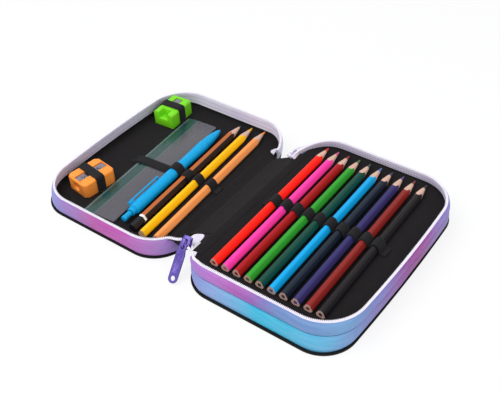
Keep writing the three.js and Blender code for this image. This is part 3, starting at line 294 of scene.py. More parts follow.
elastic_web = Finish("black_elastic", "#0a090b", Roughness=0.9, Specular_IOR_Level=0.25, Sheen_Weight=0.05)
elastic_ribs = elastic_web.math("ADD", elastic_web.wave("X", 0.8), elastic_web.wave("Y", 1.5))
elastic_web.colour(elastic_web.mix(elastic_ribs, paint("#060607"), paint("#131115"))).bump(elastic_ribs, 0.16)


def tape_cloth(name, colour, light, deep):
    finish = Finish(name, colour, Roughness=0.75, Sheen_Weight=0.1)
    finish.colour(finish.mix(finish.noise(38.0), paint(light), paint(deep)))
    return finish.bump(weave(finish, 0.6), 0.06)


def nylon_coil(name, colour):
    finish = Finish(name, colour, Roughness=0.38, Coat_Weight=0.2)
    return finish.rough(finish.noise(1.5), 0.3, 0.5)


def sewing_thread(name, colour):
    finish = Finish(name, colour, Roughness=0.6)
    return finish.bump(finish.noise(0.4), 0.05)


white_tape = tape_cloth("white_tape", "#ece8f4", "#f2f0f6", "#d9cdec")
blue_tape = tape_cloth("blue_tape", "#7fa8e0", "#7fb0ea", "#9a93de")
white_coil = nylon_coil("white_zip_coil", "#f1eef6")
blue_coil = nylon_coil("blue_zip_coil", "#6f9fe0")
lilac_thread = sewing_thread("lilac_thread", "#a79bbd")
black_thread = sewing_thread("black_thread", "#26232a")
print("plain textiles: lining, piping, elastic, 2 tapes, 2 coils, 2 threads")

# %% [markdown]
# ## Wood, lacquer, plastic and steel
# Pencil wood is pale with a fine grain along the pencil. Lacquer is smooth with a thin clear coat. The two
# sharpeners and the pen are moulded plastic with a faint grain and a few scuffs. The purple slider and
# pull are painted metal, worn lighter where hands rub them, and the blades are brushed steel. The slider of
# the closed zip doesn't show in the photograph, so its pale metal is a guess.

# %% Hard finishes


def lacquer(name, colour):
    finish = Finish(name, colour, Roughness=0.42, Specular_IOR_Level=0.2, Coat_Weight=0.05,
                    Coat_Roughness=0.2)
    drift = finish.noise(6.0, 2.0, (1, 0.15, 1))
    deeper = finish.mix(finish.math("MULTIPLY", drift, 0.08), paint(colour), paint("#141014"))
    return finish.colour(deeper).rough(drift, 0.32, 0.46).bump(finish.noise(1.2), 0.01).material


def moulded(name, colour, deep):
    finish = Finish(name, colour, Roughness=0.42, Specular_IOR_Level=0.25, Subsurface_Weight=0.12,
                    Subsurface_Scale=0.002)
    cloudy = finish.noise(7.0)
    finish.colour(finish.mix(finish.math("MULTIPLY", cloudy, 0.5), paint(colour), paint(deep)))
    finish.rough(finish.noise(1.6, 5.0, (1, 0.3, 1)), 0.3, 0.52)
    return finish.bump(finish.noise(0.35), 0.012).material


pencil_wood = Finish("pencil_wood", "#dcb593", Roughness=0.7)
grain = pencil_wood.noise(0.9, 4.0, (1, 0.06, 1))
pencil_wood.colour(pencil_wood.mix(grain, paint("#c29583"), paint("#e2c0b0")))
pencil_wood.bump(grain, 0.05)

orange_plastic = moulded("orange_plastic", "#ff9c40", "#ff862c")
green_plastic = moulded("green_plastic", "#7ddb22", "#62c410")
pen_plastic = moulded("pen_plastic", "#02a2dc", "#0294d0")

purple_metal = Finish("purple_metal", "#57429a", Metallic=0.35, Roughness=0.36, Coat_Weight=0.25)
rubbed = purple_metal.noise(3.0, 5.0)
purple_metal.colour(purple_metal.mix(purple_metal.ramp(rubbed, [(0.55, 0.0), (0.75, 0.5)]),
                                     paint("#54409a"), paint("#8f7cc4")))
purple_metal.rough(rubbed, 0.28, 0.46).bump(purple_metal.noise(0.8), 0.01)

pale_metal = Finish("pale_metal", "#e6e2ee", Metallic=0.2, Roughness=0.36, Coat_Weight=0.25)
pale_metal.rough(pale_metal.noise(3.0, 5.0), 0.28, 0.46).bump(pale_metal.noise(0.8), 0.01)

brushed_steel = Finish("brushed_steel", "#8f8c96", Metallic=1.0, Roughness=0.34)
brushing = brushed_steel.noise(0.5, 4.0, (1, 0.05, 1))
brushed_steel.colour(brushed_steel.mix(brushing, paint("#757180"), paint("#a5a3ac")))
brushed_steel.rough(brushing, 0.22, 0.42).bump(brushing, 0.01)
print("hard finishes: wood, 3 plastics and 3 metals")

# %% [markdown]
# ## The studio
# The photograph was cut out on white. A large pale floor keeps a soft shadow under the case, and it looks
# white to the camera and in reflections because part of it glows for those rays only. The light on the
# object stays at a plain level: one wide soft lamp from the front left, a weaker one from the right, and an
# even sky.

# %% Floor, sky and lamps
FLOOR_GLOW = 0.82
LAMPS_AIM = Vector((-0.08, 0, 0))


def seen_rays(graph):
    """1 for the rays of the camera, of gloss and of clear plastic, 0 for those that light the object."""
    path = graph.add("ShaderNodeLightPath").outputs
    direct = graph.math("MAXIMUM", path["Is Camera Ray"], path["Is Glossy Ray"])
    return graph.math("MAXIMUM", direct, path["Is Transmission Ray"])


def build_floor(half=4.0):
    finish = Finish("studio_floor", "#ffffff", Roughness=0.9).colour((0.86, 0.86, 0.86, 1))
    share = finish.math("MULTIPLY", seen_rays(finish), FLOOR_GLOW)
    glow = finish.add("ShaderNodeEmission").outputs[0]
    blend = finish.add("ShaderNodeMixShader", {0: share, 1: finish.surface.outputs[0], 2: glow}).outputs[0]
    finish.feed(finish.tree.nodes["Material Output"], {"Surface": blend})
    mesh = bpy.data.meshes.new("studio_floor")
    corners = [(-half, -half, 0), (half, -half, 0), (half, half, 0), (-half, half, 0)]
    mesh.from_pydata(corners, [], [(0, 1, 2, 3)])
    mesh.materials.append(finish.material)
    floor = bpy.data.objects.new("studio_floor", mesh)
    bpy.context.scene.collection.objects.link(floor)


def build_sky(strength):
    world = bpy.data.worlds.new("studio_sky")
    bpy.context.scene.world = world
    world.use_nodes = True
    graph = Graph(world.node_tree)
    even = graph.tree.nodes["Background"]
    graph.feed(even, {"Color": (0.97, 0.98, 1.0, 1), "Strength": strength})
    white = graph.add("ShaderNodeBackground", {"Color": (1, 1, 1, 1)}).outputs[0]
    blend = graph.add("ShaderNodeMixShader", {0: seen_rays(graph), 1: even.outputs[0], 2: white}).outputs[0]
    graph.feed(graph.tree.nodes["World Output"], {"Surface": blend})


def build_lamp(name, place, size, power):
    lamp = bpy.data.lights.new(name, "AREA")
    lamp.size, lamp.energy = size, power
    holder = bpy.data.objects.new(name, lamp)
    bpy.context.scene.collection.objects.link(holder)
    holder.location = place
    holder.rotation_euler = (LAMPS_AIM - Vector(place)).to_track_quat("-Z", "Y").to_euler()


build_floor()
build_sky(0.62)
build_lamp("wide_soft_lamp", (-0.4, -0.55, 1.4), 1.1, 15.0)
build_lamp("right_fill_lamp", (1.1, -0.4, 1.0), 0.9, 6.0)
bpy.context.scene.view_settings.view_transform = "Standard"
print("studio: floor, sky and 2 lamps")

# %% [markdown]
# ## Meshes from sections
# Most pieces here are drawn-out forms: a section that travels along a path. One loft function makes them
# all. It takes rings of points in millimetres and joins each to the next. A piece then rides on the CAD
# body that carries it, and stands for the plain CAD solid that it replaces.

# %% Loft, piece and turned forms


def loft(sections, around=False):
    """Points and faces of a form that joins each section to the next; around closes the path itself."""
    count = len(sections[0])
    points = [p for section in sections for p in section]
    faces = []
    for i in range(len(sections) if around else len(sections) - 1):
        a, b = i * count, (i + 1) % len(sections) * count
        for j in range(count):
            k = (j + 1) % count
            faces.append((a + j, a + k, b + k, b + j))
    if not around:
        faces += [tuple(range(count))[::-1], tuple(range(len(points) - count, len(points)))]
    return points, faces


def several(forms):
    """Many small forms as one mesh's points and faces."""
    points, faces = [], []
    for some_points, some_faces in forms:
        start = len(points)
        points.extend(some_points)
        faces.extend(tuple(start + i for i in face) for face in some_faces)
    return points, faces


def piece(name, form, finishes, body, stands_for=(), pick=None, crease=40):
    """A named piece from points in millimetres. pick gives the finish number of each face."""
    mesh = bpy.data.meshes.new(name)
    shape = bmesh.new()
    corners = [shape.verts.new(Vector(p) * MM) for p in form[0]]
    for number, corner_numbers in enumerate(form[1]):
        face = shape.faces.new([corners[i] for i in corner_numbers])
        face.smooth = True
        face.material_index = pick[number] if pick else 0
    bmesh.ops.remove_doubles(shape, verts=shape.verts, dist=0.0005 * MM)
    bmesh.ops.recalc_face_normals(shape, faces=shape.faces)
    shape.to_mesh(mesh)
    shape.free()
    mesh.set_sharp_from_angle(angle=math.radians(crease))
    for finish in finishes:
        mesh.materials.append(finish)
    made = bpy.data.objects.new(name, mesh)
    bpy.context.scene.collection.objects.link(made)
    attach(made, body)
    if stands_for:
        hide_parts(*stands_for)
    print("piece:", name, len(mesh.polygons), "faces")
    return made


def turned(profile, sides=40):
    """A turned form along Y from (radius, station) pairs, open where the radius ends above zero."""
    return [[(radius * math.cos(math.tau * i / sides), station, radius * math.sin(math.tau * i / sides))
             for i in range(sides)] for radius, station in profile]


def settled(form, turn, shift):
    """A form turned about Z by degrees and moved to its place."""
    spin = Matrix.Rotation(math.radians(turn), 3, "Z")
    return [spin @ Vector(p) + Vector(shift) for p in form[0]], form[1]


def ripple(p, size, height):
    """A smooth small rise and fall of a soft surface, the same each run."""
    return noise.noise(Vector(p) / size) * height


square = [(0, 0), (1, 0), (1, 1), (0, 1)]
print("faces of a lofted box:", len(loft([[(x, y, z) for x, y in square] for z in (0, 1)])[1]))

# %% [markdown]
# ## The outline of the case
# Seen from above, both halves are rounded rectangles whose long outer side bows out a little. The foot and
# the rim differ, so the walls lean. A station is a place along the outline: one of its eight legs and a
# share of that leg. The same stations serve the walls, the piping, the tapes, the teeth and the stitches.

# %% Outlines and stations
CASE_WIDTH, CASE_LENGTH = 153.0, 198.0
SPINE_GAP = 16.0
DECK_RIM, LID_RIM, ZIP_LEVEL = 32.0, 24.0, 18.0
WALL, CLEAR, TAPE = 1.8, 0.3, 0.8
RIM_DIP = 5.0
TAPE_END, DECK_TAPE, LID_TAPE = 6.2, 8.6, 12.5
deck_rim = dict(centre=0.0, width=CASE_WIDTH, length=CASE_LENGTH, corner=38.0, near=26.0, bow=1.5, facing=1)
base_foot = dict(deck_rim, centre=-1.5, width=CASE_WIDTH - 3, length=CASE_LENGTH + 8, corner=29.0, near=29.0)
lid_rim = dict(deck_rim, centre=-CASE_WIDTH - SPINE_GAP, near=38.0, facing=-1)
lid_foot = dict(lid_rim, centre=-CASE_WIDTH - SPINE_GAP - 5, width=CASE_WIDTH - 3, length=CASE_LENGTH - 4,
                corner=30.0, near=30.0)


def mix(a, b, share):
    return a + (b - a) * share


def between(foot, rim, share):
    return {key: mix(foot[key], rim[key], share) for key in rim}


def base(z):
    return between(base_foot, deck_rim, z / DECK_RIM)


def lid(z):
    return between(lid_foot, lid_rim, z / LID_RIM)


def place(outline, station, inset, z):
    """The point of an outline at a station, moved inwards by inset."""
    half_width, half_length = outline["width"] / 2 - inset, outline["length"] / 2 - inset
    corner, near = outline["corner"] - inset, outline["near"] - inset
    straight_x, straight_y = half_width - corner, half_length - corner
    near_x, near_y = half_width - near, half_length - near
    leg, share = station
    along, across = math.sin(share * math.pi / 2), math.cos(share * math.pi / 2)
    x, y = [
        lambda: (-near_x - near * across, -near_y - near * along),
        lambda: (mix(-near_x, straight_x, share), -half_length),
        lambda: (straight_x + corner * along, -straight_y - corner * across),
        lambda: (half_width + outline["bow"] * 4 * share * (1 - share), mix(-straight_y, straight_y, share)),
        lambda: (straight_x + corner * across, straight_y + corner * along),
        lambda: (mix(straight_x, -straight_x, share), half_length),
        lambda: (-straight_x - corner * along, straight_y + corner * across),
        lambda: (-half_width, mix(straight_y, -near_y, share)),
    ][leg]()
    return Vector((outline["centre"] + outline["facing"] * x, y, z))


def steps(leg, count, start=0.0, end=1.0):
    return [(leg, mix(start, end, i / count)) for i in range(count)]


print("rim of each half:", CASE_WIDTH, "by", CASE_LENGTH, "mm")

# %% [markdown]
# Stations stand close together where the outline turns and further apart on the straights. A wall that
# stays open towards the spine begins and ends part of the way round its corners; how far is named here.

# %% Stations


def open_stations(near_share, far_share):
    """The stations of a wall that stays open on the spine side."""
    return [
        *steps(0, 14, near_share), *steps(1, 12), *steps(2, 18), *steps(3, 22), *steps(4, 18), *steps(5, 12),
        *steps(6, 16, 0, 1 - far_share), (6, 1 - far_share),
    ]


ring_stations = [
    station for leg, count in enumerate([16, 12, 18, 22, 18, 12, 18, 20]) for station in steps(leg, count)
]
RIM_NEAR, RIM_FAR, LOW_FAR, WEDGE_NEAR = 0.42, 0.12, 0.22, 0.12
spine_stations = [(7, i / 19) for i in range(20)]
rim_stations = open_stations(RIM_NEAR, RIM_FAR)
low_stations = open_stations(RIM_NEAR, LOW_FAR)
print("outline stations:", len(rim_stations), "on a rim")

# %% [markdown]
# Beside the spine a soft rim dips, and its tape narrows towards its end. Both follow an eased run along the
# corner, which keeps their shapes free of kinks.

# %% Rims beside the spine


def corner_run(station, end):
    """How far along a corner beside the spine a station lies, from 0 at the wall's start to 1."""
    leg, share = station
    if leg == 0:
        start = RIM_NEAR
    elif leg == 6:
        share, start = 1 - share, RIM_FAR
    else:
        return 1.0
    return min(max((share - start) / (end - start), 0), 1)


def ease(run):
    return run * run * (3 - 2 * run)


def fall(station, near_dip, far_dip):
    """How far a soft rim dips at a station: it falls towards the spine."""
    dip = near_dip if station[0] == 0 else far_dip
    return dip * (1 - ease(corner_run(station, 0.85)))


def tape_height(station, full):
    """A rim's tape stands tallest inside the case and narrows towards its ends beside the spine."""
    return mix(TAPE_END, full, ease(corner_run(station, 1)))


def deck_top(station):
    return DECK_RIM - fall(station, RIM_DIP, RIM_DIP)


def lid_top(station):
    return LID_RIM - fall(station, 0, RIM_DIP)


def deck_tape(station):
    return tape_height(station, DECK_TAPE)


def lid_tape(station):
    return tape_height(station, LID_TAPE)


print("deck rim:", deck_top((3, 0.5)), "mm high, and", deck_top(rim_stations[0]), "beside the spine")

# %% [markdown]
# ## The printed walls
# Each wall is cloth over a thin foam, so it is plump between its seams: it swells in the middle, rolls in at
# its two edges, and ripples a little. Its edge at the closed zip rolls inwards, which draws the dark line
# between the two decks. A cloth simulation would make the ripples move with every change, so the swell and
# the ripples come from a formula that stays put.

# %% Walls


def plump_wall(outline, stations, low, top_of):
    """Sections of a foam-backed wall: up the plump outside, over the edge, and down the inside."""
    sections = []
    for station in stations:
        top = top_of(station)
        section = []
        for i in range(15):
            share = i / 14
            z = mix(low, top, share)
            swell = 0.9 * math.sin(math.pi * share) ** 0.6
            roll = 0.55 * (math.exp(-share / 0.05) + math.exp(-(1 - share) / 0.05))
            p = place(outline(z), station, 0, z)
            swell += ripple(p, 21, 0.55) + ripple(p, 8, 0.18)
            section.append(place(outline(z), station, roll - swell * min(1, 6 * share, 6 * (1 - share)), z))
        section.append(place(outline(top), station, WALL - 0.4, top))
        section.append(place(outline(top), station, WALL, top - 0.4))
        section.append(place(outline(low), station, WALL, low))
        sections.append(section)
    return sections


def spine_side(near_share, far_share, low_top, far_top):
    """The low stations behind the spine, with the height of the wall there."""
    far_tops = {(6, 1 - far_share * part): far_top for part in (0.95, 0.6)}
    return {**far_tops, **dict.fromkeys(spine_stations, low_top), (0, near_share * 0.95): low_top}


WALL_LOW = 2.9
LID_FLOOR = 7.0
FOLD_LOW = Vector((-97.2, 0, LID_FLOOR))
FOLD_HIGH = Vector((-71.8, 0, 20.863))
flap_line = (FOLD_HIGH - FOLD_LOW).normalized()
FLAP_THICK = 2.4
FOLD_TO_TRAY = 20.7
tray_spine_top = LID_FLOOR + FOLD_TO_TRAY * flap_line.z / flap_line.x - FLAP_THICK / 2 / flap_line.x - CLEAR
lid_spine_top = LID_FLOOR - FLAP_THICK / 2 - CLEAR
lower_tops = spine_side(RIM_NEAR, LOW_FAR, tray_spine_top, ZIP_LEVEL - CLEAR - 5)
lid_tops = spine_side(WEDGE_NEAR, RIM_FAR, lid_spine_top, lid_spine_top)
for i in range(12):
    share = i / 11
    lid_tops[(0, mix(WEDGE_NEAR, RIM_NEAR * 0.95, share))] = mix(lid_spine_top, LID_RIM - 4.6, ease(share))

piece("deck_wall_cloth", loft(plump_wall(base, rim_stations, ZIP_LEVEL + CLEAR, lambda s: deck_top(s) - 2.4)),
      [deck_cloth], "upper_deck", ["deck_wall"])
piece("tray_wall_cloth",
      loft(plump_wall(base, [*low_stations, *lower_tops], WALL_LOW,
                      lambda s: lower_tops.get(s, ZIP_LEVEL - CLEAR)), around=True),
      [tray_cloth], "lower_tray", ["lower_wall"])
piece("lid_wall_cloth",
      loft(plump_wall(lid, [*rim_stations, *lid_tops], WALL_LOW, lambda s: lid_tops.get(s, lid_top(s) - 2.4)),
           around=True),
      [lid_cloth], "lid", ["lid_wall"])

# %% [markdown]
# ## Piping and stitches
# A black cord in a cloth sleeve is sewn round each foot. It is a round section along the outline. Stitches
# are small separate threads, each a stretched bead, set at even steps along a line: even steps matter, so
# the line is measured first and then walked.

# %% Piping and a way to walk along a line
PIPING_RADIUS = 1.3
STITCH_PITCH, STITCH_LONG = 2.6, 1.9


def measured(line):
    """How far each point lies along a line, and a function that gives the points at any distances."""
    spots = np.array(line)
    runs = np.linalg.norm(np.diff(spots, axis=0), axis=1)
    far = np.concatenate([[0], np.cumsum(runs)])
    return far, lambda at: np.stack([np.interp(at, far, column) for column in spots.T], axis=1)


def walk(line, pitch):
    """Points at even steps along a line, each with the direction there."""
    far, points_at = measured(line)
    count = int(far[-1] / pitch)
    at = (np.arange(count) + 0.5) * far[-1] / count
    ahead = points_at(at + 0.1) - points_at(at - 0.1)
    return [(Vector(p), Vector(q).normalized()) for p, q in zip(points_at(at), ahead)]


def bead(centre, along, long, wide, sides=6):
    """A small rounded bar, for a stitch or a zip tooth."""
    side = along.cross(Vector((0, 0, 1)))
    side = side.normalized() if side.length > 0.01 else Vector((1, 0, 0))
    rise = side.cross(along).normalized()
    turns = [math.tau * i / sides for i in range(sides)]
    spokes = [side * math.cos(a) + rise * math.sin(a) for a in turns]
    rings = []
    for share, girth in ((-0.5, 0.35), (-0.38, 0.85), (0, 1), (0.38, 0.85), (0.5, 0.35)):
        rings.append([centre + along * long * share + spoke * wide / 2 * girth for spoke in spokes])
    return loft(rings)


def stitches(name, line, body, finish, wide=0.36):
    beads = [bead(p, along, STITCH_LONG, wide) for p, along in walk(line, STITCH_PITCH)]
    return piece(name, several(beads), [finish.material], body)


def piping(name, foot, body, node):
    rings = []
    for station in ring_stations:
        rings.append([place(foot, station, PIPING_RADIUS * math.cos(a), PIPING_RADIUS * (1 + math.sin(a)))
                      for a in (math.tau * i / 14 for i in range(14))])
    piece(name, loft(rings, around=True), [piping_braid.material], body, [node])


piping("tray_piping_cord", base(0), "lower_tray", "base_piping")
piping("lid_piping_cord", lid(0), "lid", "lid_piping")

# %% [markdown]
# ## The zips
# A nylon coil zip is a woven tape whose edge carries a coil, and each turn of the coil is a tooth. The two
# open rows stand round the rims with their teeth up; the closed row lies hidden in the slit between the
# decks. Every tooth is a real little bar here. An array along a curve would twist in the tight
# corners, so each tooth is placed by its own direction.

# %% Loose ends and teeth
TOOTH_PITCH = 1.5


def spin_about(section, centre, axis, degrees):
    turn = Matrix.Rotation(math.radians(degrees), 3, axis)
    return [turn @ (p - centre) + centre for p in section]


def tail(section, out, side, turns, step=3.3, lean=12, drop=0.0, parts=3):
    """The loose end of a tape: each step turns the section, leans it outwards and walks on."""
    heading = Matrix.Rotation(side * math.pi / 2, 3, "Z") @ out.normalized()
    sections = []
    for turn in turns:
        for _ in range(parts):
            centre = sum(section, Vector()) / len(section)
            angle = -side * turn / parts
            heading = Matrix.Rotation(math.radians(angle), 3, "Z") @ heading
            section = spin_about(section, centre, Vector((0, 0, 1)), angle)
            section = spin_about(section, centre, heading, side * lean / parts)
            section = [p + (heading * step - Vector((0, 0, drop))) / parts for p in section]
            sections.append(section)
    return sections


def bending(made):
    """Takes a finished piece off its body: its place is baked into its mesh, and it rides on no body."""
    made.parent = None
    del made["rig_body"]
    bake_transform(made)


def tooth_row(name, crown, across_at, lift, long, wide, coil, body):
    """Teeth at even steps along the crown of a tape, each lying across it and lifted a little."""
    teeth = [bead(p + Vector((0, 0, lift)), across_at(p, along), long, wide)
             for p, along in walk(crown, TOOTH_PITCH)]
    piece(name.replace("tape", "teeth"), several(teeth), [coil.material], body)


print("tooth pitch:", TOOTH_PITCH, "mm")

# %% [markdown]
# The open rows have a tape whose edge curls over the wall, with teeth across its crown. Each runs out into a
# loose end at the near side. At the far side the deck's tape goes on over the fold, and that part is a piece
# of its own, because it bends when the case closes.

# %% Open rows
TAPE_INSET = WALL + CLEAR
ROW_INSET = TAPE_INSET + TAPE


def narrowed(sections):
    """A loose end whose foot is folded up, more and more along its first steps."""
    for number, section in enumerate(sections):
        share = min(1, (number + 1) / 3)
        section[0] = section[0].lerp(section[1], 0.6 * share)
        section[9] = section[9].lerp(section[8], 0.8 * share)
    return sections


def rim_row(name, outline, top_of, tape_of, side, near_turns, body, node):
    """The open row: its tape stands inside the wall and curls over the edge, with teeth along the top."""
    sections = []
    for station in rim_stations:
        rise = top_of(station)
        shelf, foot = rise - 2.2, rise - tape_of(station)
        profile = [(TAPE_INSET, foot), (TAPE_INSET, shelf), (0.95, shelf), (0.75, rise - 1.7),
                   (1.0, rise - 1.35), (1.9, rise - 1.2), (ROW_INSET - 0.1, rise - 1.5), (ROW_INSET, shelf),
                   (ROW_INSET, rise - 4.2), (ROW_INSET, foot)]
        sections.append([place(outline(z), station, inset, z) for inset, z in profile])
    loose = narrowed(tail(sections[0], sections[0][2] - sections[0][7], side, near_turns))
    sections = [*loose[::-1], *sections]
    piece(name, loft(sections), [white_tape.material], body, [node])
    crown = [(s[4] + s[6]) / 2 for s in sections]

    def across_at(p, along):
        nearest = min(range(len(crown)), key=lambda i: (crown[i] - p).length_squared)
        return (sections[nearest][4] - sections[nearest][6]).normalized()

    tooth_row(name, crown, across_at, 0.5, 2.3, 0.95, white_coil, body)
    return sections


deck_row = rim_row("deck_rim_tape", base, deck_top, deck_tape, -1, (22, 10, -10), "upper_deck",
                   "deck_zip_row")
lid_row = rim_row("lid_rim_tape", lid, lid_top, lid_tape, 1, (22, 10, -10, -6), "lid", "lid_zip_row")
last = deck_row[-1]
draped = tail(last, last[2] - last[7], 1, (-6, -5, 0), step=3.1, lean=17, drop=0.5)
for number, section in enumerate(draped):
    heart = sum(section, Vector()) / len(section)
    draped[number] = [heart + (p - heart) * (1 + 0.45 * (number + 1) / len(draped)) for p in section]
drape = piece("deck_tape_drape", loft([last, *draped]), [white_tape.material], "lower_tray")
bending(drape)
for name, rows, body in (("deck", deck_row, "upper_deck"), ("lid", lid_row, "lid")):
    for number, share in enumerate((0.06, 0.6)):
        seam = [mix(s[8], s[9], share) + (s[9] - s[0]).normalized() * 0.12 for s in rows]
        stitches(f"{name}_tape_stitches_{number}", seam, body, lilac_thread, wide=0.5)


# %% [markdown]
# The closed zip is two flat rows in the slit between tray and deck, one on each side of it. Only the lower
# row runs out into a loose end.

# %% Closed rows


def hidden_row(name, start, rise, body, node, with_tail):
    """A row of the closed zip, in the slit between the decks."""
    profile = [(TAPE_INSET, start), (TAPE_INSET, start + rise * 2.2), (ROW_INSET, start + rise * 2.2),
               (ROW_INSET, start + rise * 1.3), (TAPE_INSET + 1.1, start + rise * 1.0),
               (TAPE_INSET + 1.1, start + rise * 0.3), (TAPE_INSET + 0.8, start)]
    sections = [[place(base(z), station, inset, z) for inset, z in profile] for station in low_stations]
    if with_tail:
        sections += tail(sections[-1], sections[-1][1] - sections[-1][2], 1, (30, 30, 15))
    piece(name, loft(sections), [blue_tape.material], body, [node])
    crown = [(s[4] + s[5]) / 2 for s in sections]
    tooth_row(name, crown, lambda p, along: along.cross(Vector((0, 0, 1))).normalized(), 0, 1.2, 0.9,
              blue_coil, body)


hidden_row("tray_slit_tape", ZIP_LEVEL - CLEAR, -1, "lower_tray", "lower_zip_row_bottom", True)
hidden_row("deck_slit_tape", ZIP_LEVEL + CLEAR, 1, "upper_deck", "lower_zip_row_top", False)

# %% [markdown]
# ## The black lining
# The lining is cloth glued on board: flat floors that turn up into the sides, with a soft round at the
# turn and slight waves in between. Each half is one continuous sheet with a real thickness: rings of the
# outline that shrink towards the middle, so that the same code makes the side and the floor.

# %% Linings
FLOOR_WAVES = 0.22


def lined_floor(outline, side_inset, floor, top_of, stations, keep=lambda p: p, underside=0.6):
    """A floor that turns up into low sides; keep holds the points on the right side of the spine fold."""
    rings = []
    for inset, height in ((0.0, 1.0), (0.02, 0.66), (0.05, 0.33), (0.25, 0.14), (0.9, 0.03), (1.9, 0.0)):
        ring = []
        for station in stations:
            z = floor + max(top_of(station) - floor, 0) * height
            ring.append(place(outline(z), station, side_inset + inset, z))
        rings.append(ring)
    foot = rings[-1]
    middle = sum(foot, Vector()) / len(foot)
    for share in (0.96, 0.9, 0.82, 0.72, 0.62, 0.52, 0.42, 0.32, 0.22, 0.12, 0.04):
        rings.append([middle + (p - middle) * share for p in foot])
    rings = [[keep(p) for p in ring] for ring in rings]
    shaped = []
    for i, ring in enumerate(rings):
        calm = min(1.0, max(0, i - 4) / 3)
        waves = [calm * (ripple(p, 26, FLOOR_WAVES) - FLOOR_WAVES / 3) for p in ring]
        shaped.append([p + Vector((0, 0, wave)) for p, wave in zip(ring, waves)])
    under = [[p - Vector((0, 0, underside)) for p in ring] for ring in shaped[:0:-1]]
    outer = [keep(place(outline(p.z), station, side_inset - 0.45, p.z))
             for p, station in zip(shaped[0], stations)]
    return loft([*under, outer, *shaped])


DECK_FLOOR, TRAY_FLOOR, TRAY_LINING_TOP = 22.1, 3.3, 16.1
deck_edge = -CASE_WIDTH / 2 + 6.6
lid_edge = lid_rim["centre"] + CASE_WIDTH / 2 - 6.2


def keep_deck(p):
    return Vector((max(p.x, deck_edge + 0.02 * (p.z - DECK_FLOOR)), p.y, p.z))


def keep_lid(p):
    return Vector((min(p.x, lid_edge), p.y, p.z))


def side_top(top_of, tape_of):
    """The sides stand under the tape, where a rim stands: behind the spine the lining stays flat."""
    stations = set(rim_stations)
    return lambda station: top_of(station) - tape_of(station) - CLEAR if station in stations else 0


print("deck floor", DECK_FLOOR, "lid floor", LID_FLOOR)
full_ring = [*rim_stations, *spine_stations, (0, RIM_NEAR * 0.5)]
piece("deck_lining_cloth",
      lined_floor(base, ROW_INSET + 0.1, DECK_FLOOR, side_top(deck_top, deck_tape), full_ring, keep_deck),
      [lining_cloth.material], "upper_deck", ["deck_lining"])
piece("lid_lining_cloth",
      lined_floor(lid, TAPE_INSET + 0.1, LID_FLOOR, side_top(lid_top, lid_tape), full_ring, keep_lid,
                  underside=1.6),
      [lining_cloth.material], "lid", ["lid_lining"])
piece("tray_lining_cloth",
      lined_floor(base, ROW_INSET + CLEAR, TRAY_FLOOR,
                  lambda s: min(TRAY_LINING_TOP, lower_tops.get(s, TRAY_LINING_TOP)),
                  [*low_stations, *lower_tops]),
      [lining_cloth.material], "lower_tray", ["lower_lining"])

# %% [markdown]
# ## The spine
# A stiff flap joins lid and deck. The white ends of the zip tapes show at both ends of the spine.

# %% Spine and folds
LINING_NEAR, LINING_FAR = -57.2, 66.0
CREASE_FROM_FOLD = 14.5
flap_length = (FOLD_HIGH - FOLD_LOW).length


def on_flap(along, across, rise):
    """A point of the flap: along it from the low fold, across it in Y, and off its surface."""
    off = Vector((-flap_line.z, 0, flap_line.x))
    return FOLD_LOW + flap_line * along + Vector((0, across, 0)) + off * rise


def strip(section, low_y, high_y, thick):
    """A strip of cloth whose section in X and Z is drawn out along Y, with soft waves along the way."""
    line = [Vector((x, 0, z)) for x, z in section]
    rings = []
    count = int((high_y - low_y) / 4)
    for i in range(count + 1):
        y = mix(low_y, high_y, i / count)
        upper = [p + Vector((0, y, ripple((p.x, y, 0), 18, 0.25) * min(j, len(line) - 1 - j) / 3))
                 for j, p in enumerate(line)]
        lower = [p - Vector((0, 0, thick)) for p in upper[::-1]]
        rings.append([*upper, *lower])
    return loft(rings)


spine_section = [on_flap(mix(3, flap_length - 3, i / 12), 0, 2.05) for i in range(13)]
piece("spine_lining_cloth",
      strip([(p.x, p.z) for p in spine_section], LINING_NEAR, LINING_FAR, 0.55),
      [lining_cloth.material], "spine_flap", ["spine_lining"])


def fold_strip(name, section, near, far, body_a):
    """A strip of lining over a fold, made on one body and then taken off it."""
    made = piece(name, strip(section, near, far, 0.45), [lining_cloth.material], body_a)
    bending(made)


low_end, high_end = on_flap(3.5, 0, 2.2), on_flap(flap_length - 3.5, 0, 2.2)
fold_strip("lid_fold_cloth",
           [(-105, 7.05), (-103, 7.15), (-101.2, 7.25), (-99.6, 7.6), (-98.4, 8.3), (-97.2, 9.25),
            (low_end.x, low_end.z)],
           LINING_NEAR, LINING_FAR, "lid")
fold_strip("deck_fold_cloth",
           [(high_end.x, high_end.z), (-73.9, 21.95), (-72.4, 22.4), (-70.8, 22.5), (-69.2, 22.45),
            (-67.4, 22.4), (-65.6, 22.3)],
           LINING_NEAR - 25, LINING_FAR + 6, "spine_flap")


# %% [markdown]
# Two flat tabs of white tape lie at the ends of the spine. A tab is drawn from its corners, which are cut
# twice to look round. Seams run along both folds and along a crease in the lid.

# %% Tape ends and seams


def patch(corners, to_place, low, high):
    """A flat piece of tape from its corners, with edges rounded over."""
    middle = sum((Vector(c) for c in corners), Vector((0, 0))) / len(corners)
    rings = []
    for shrink, rise in ((0.97, low), (1.0, mix(low, high, 0.4)), (0.97, high), (0.6, high), (0.2, high)):
        rings.append([to_place(*(middle + (Vector(c) - middle) * shrink), rise) for c in corners])
    return loft(rings)


def soft_corners(corners, share=0.18):
    """The same outline with each corner cut twice, so that it is round."""
    for _ in range(2):
        cut = []
        for i, c in enumerate(corners):
            before, after = Vector(corners[i - 1]), Vector(corners[(i + 1) % len(corners)])
            cut += [tuple(Vector(c).lerp(before, share)), tuple(Vector(c).lerp(after, share))]
        corners = cut
    return corners


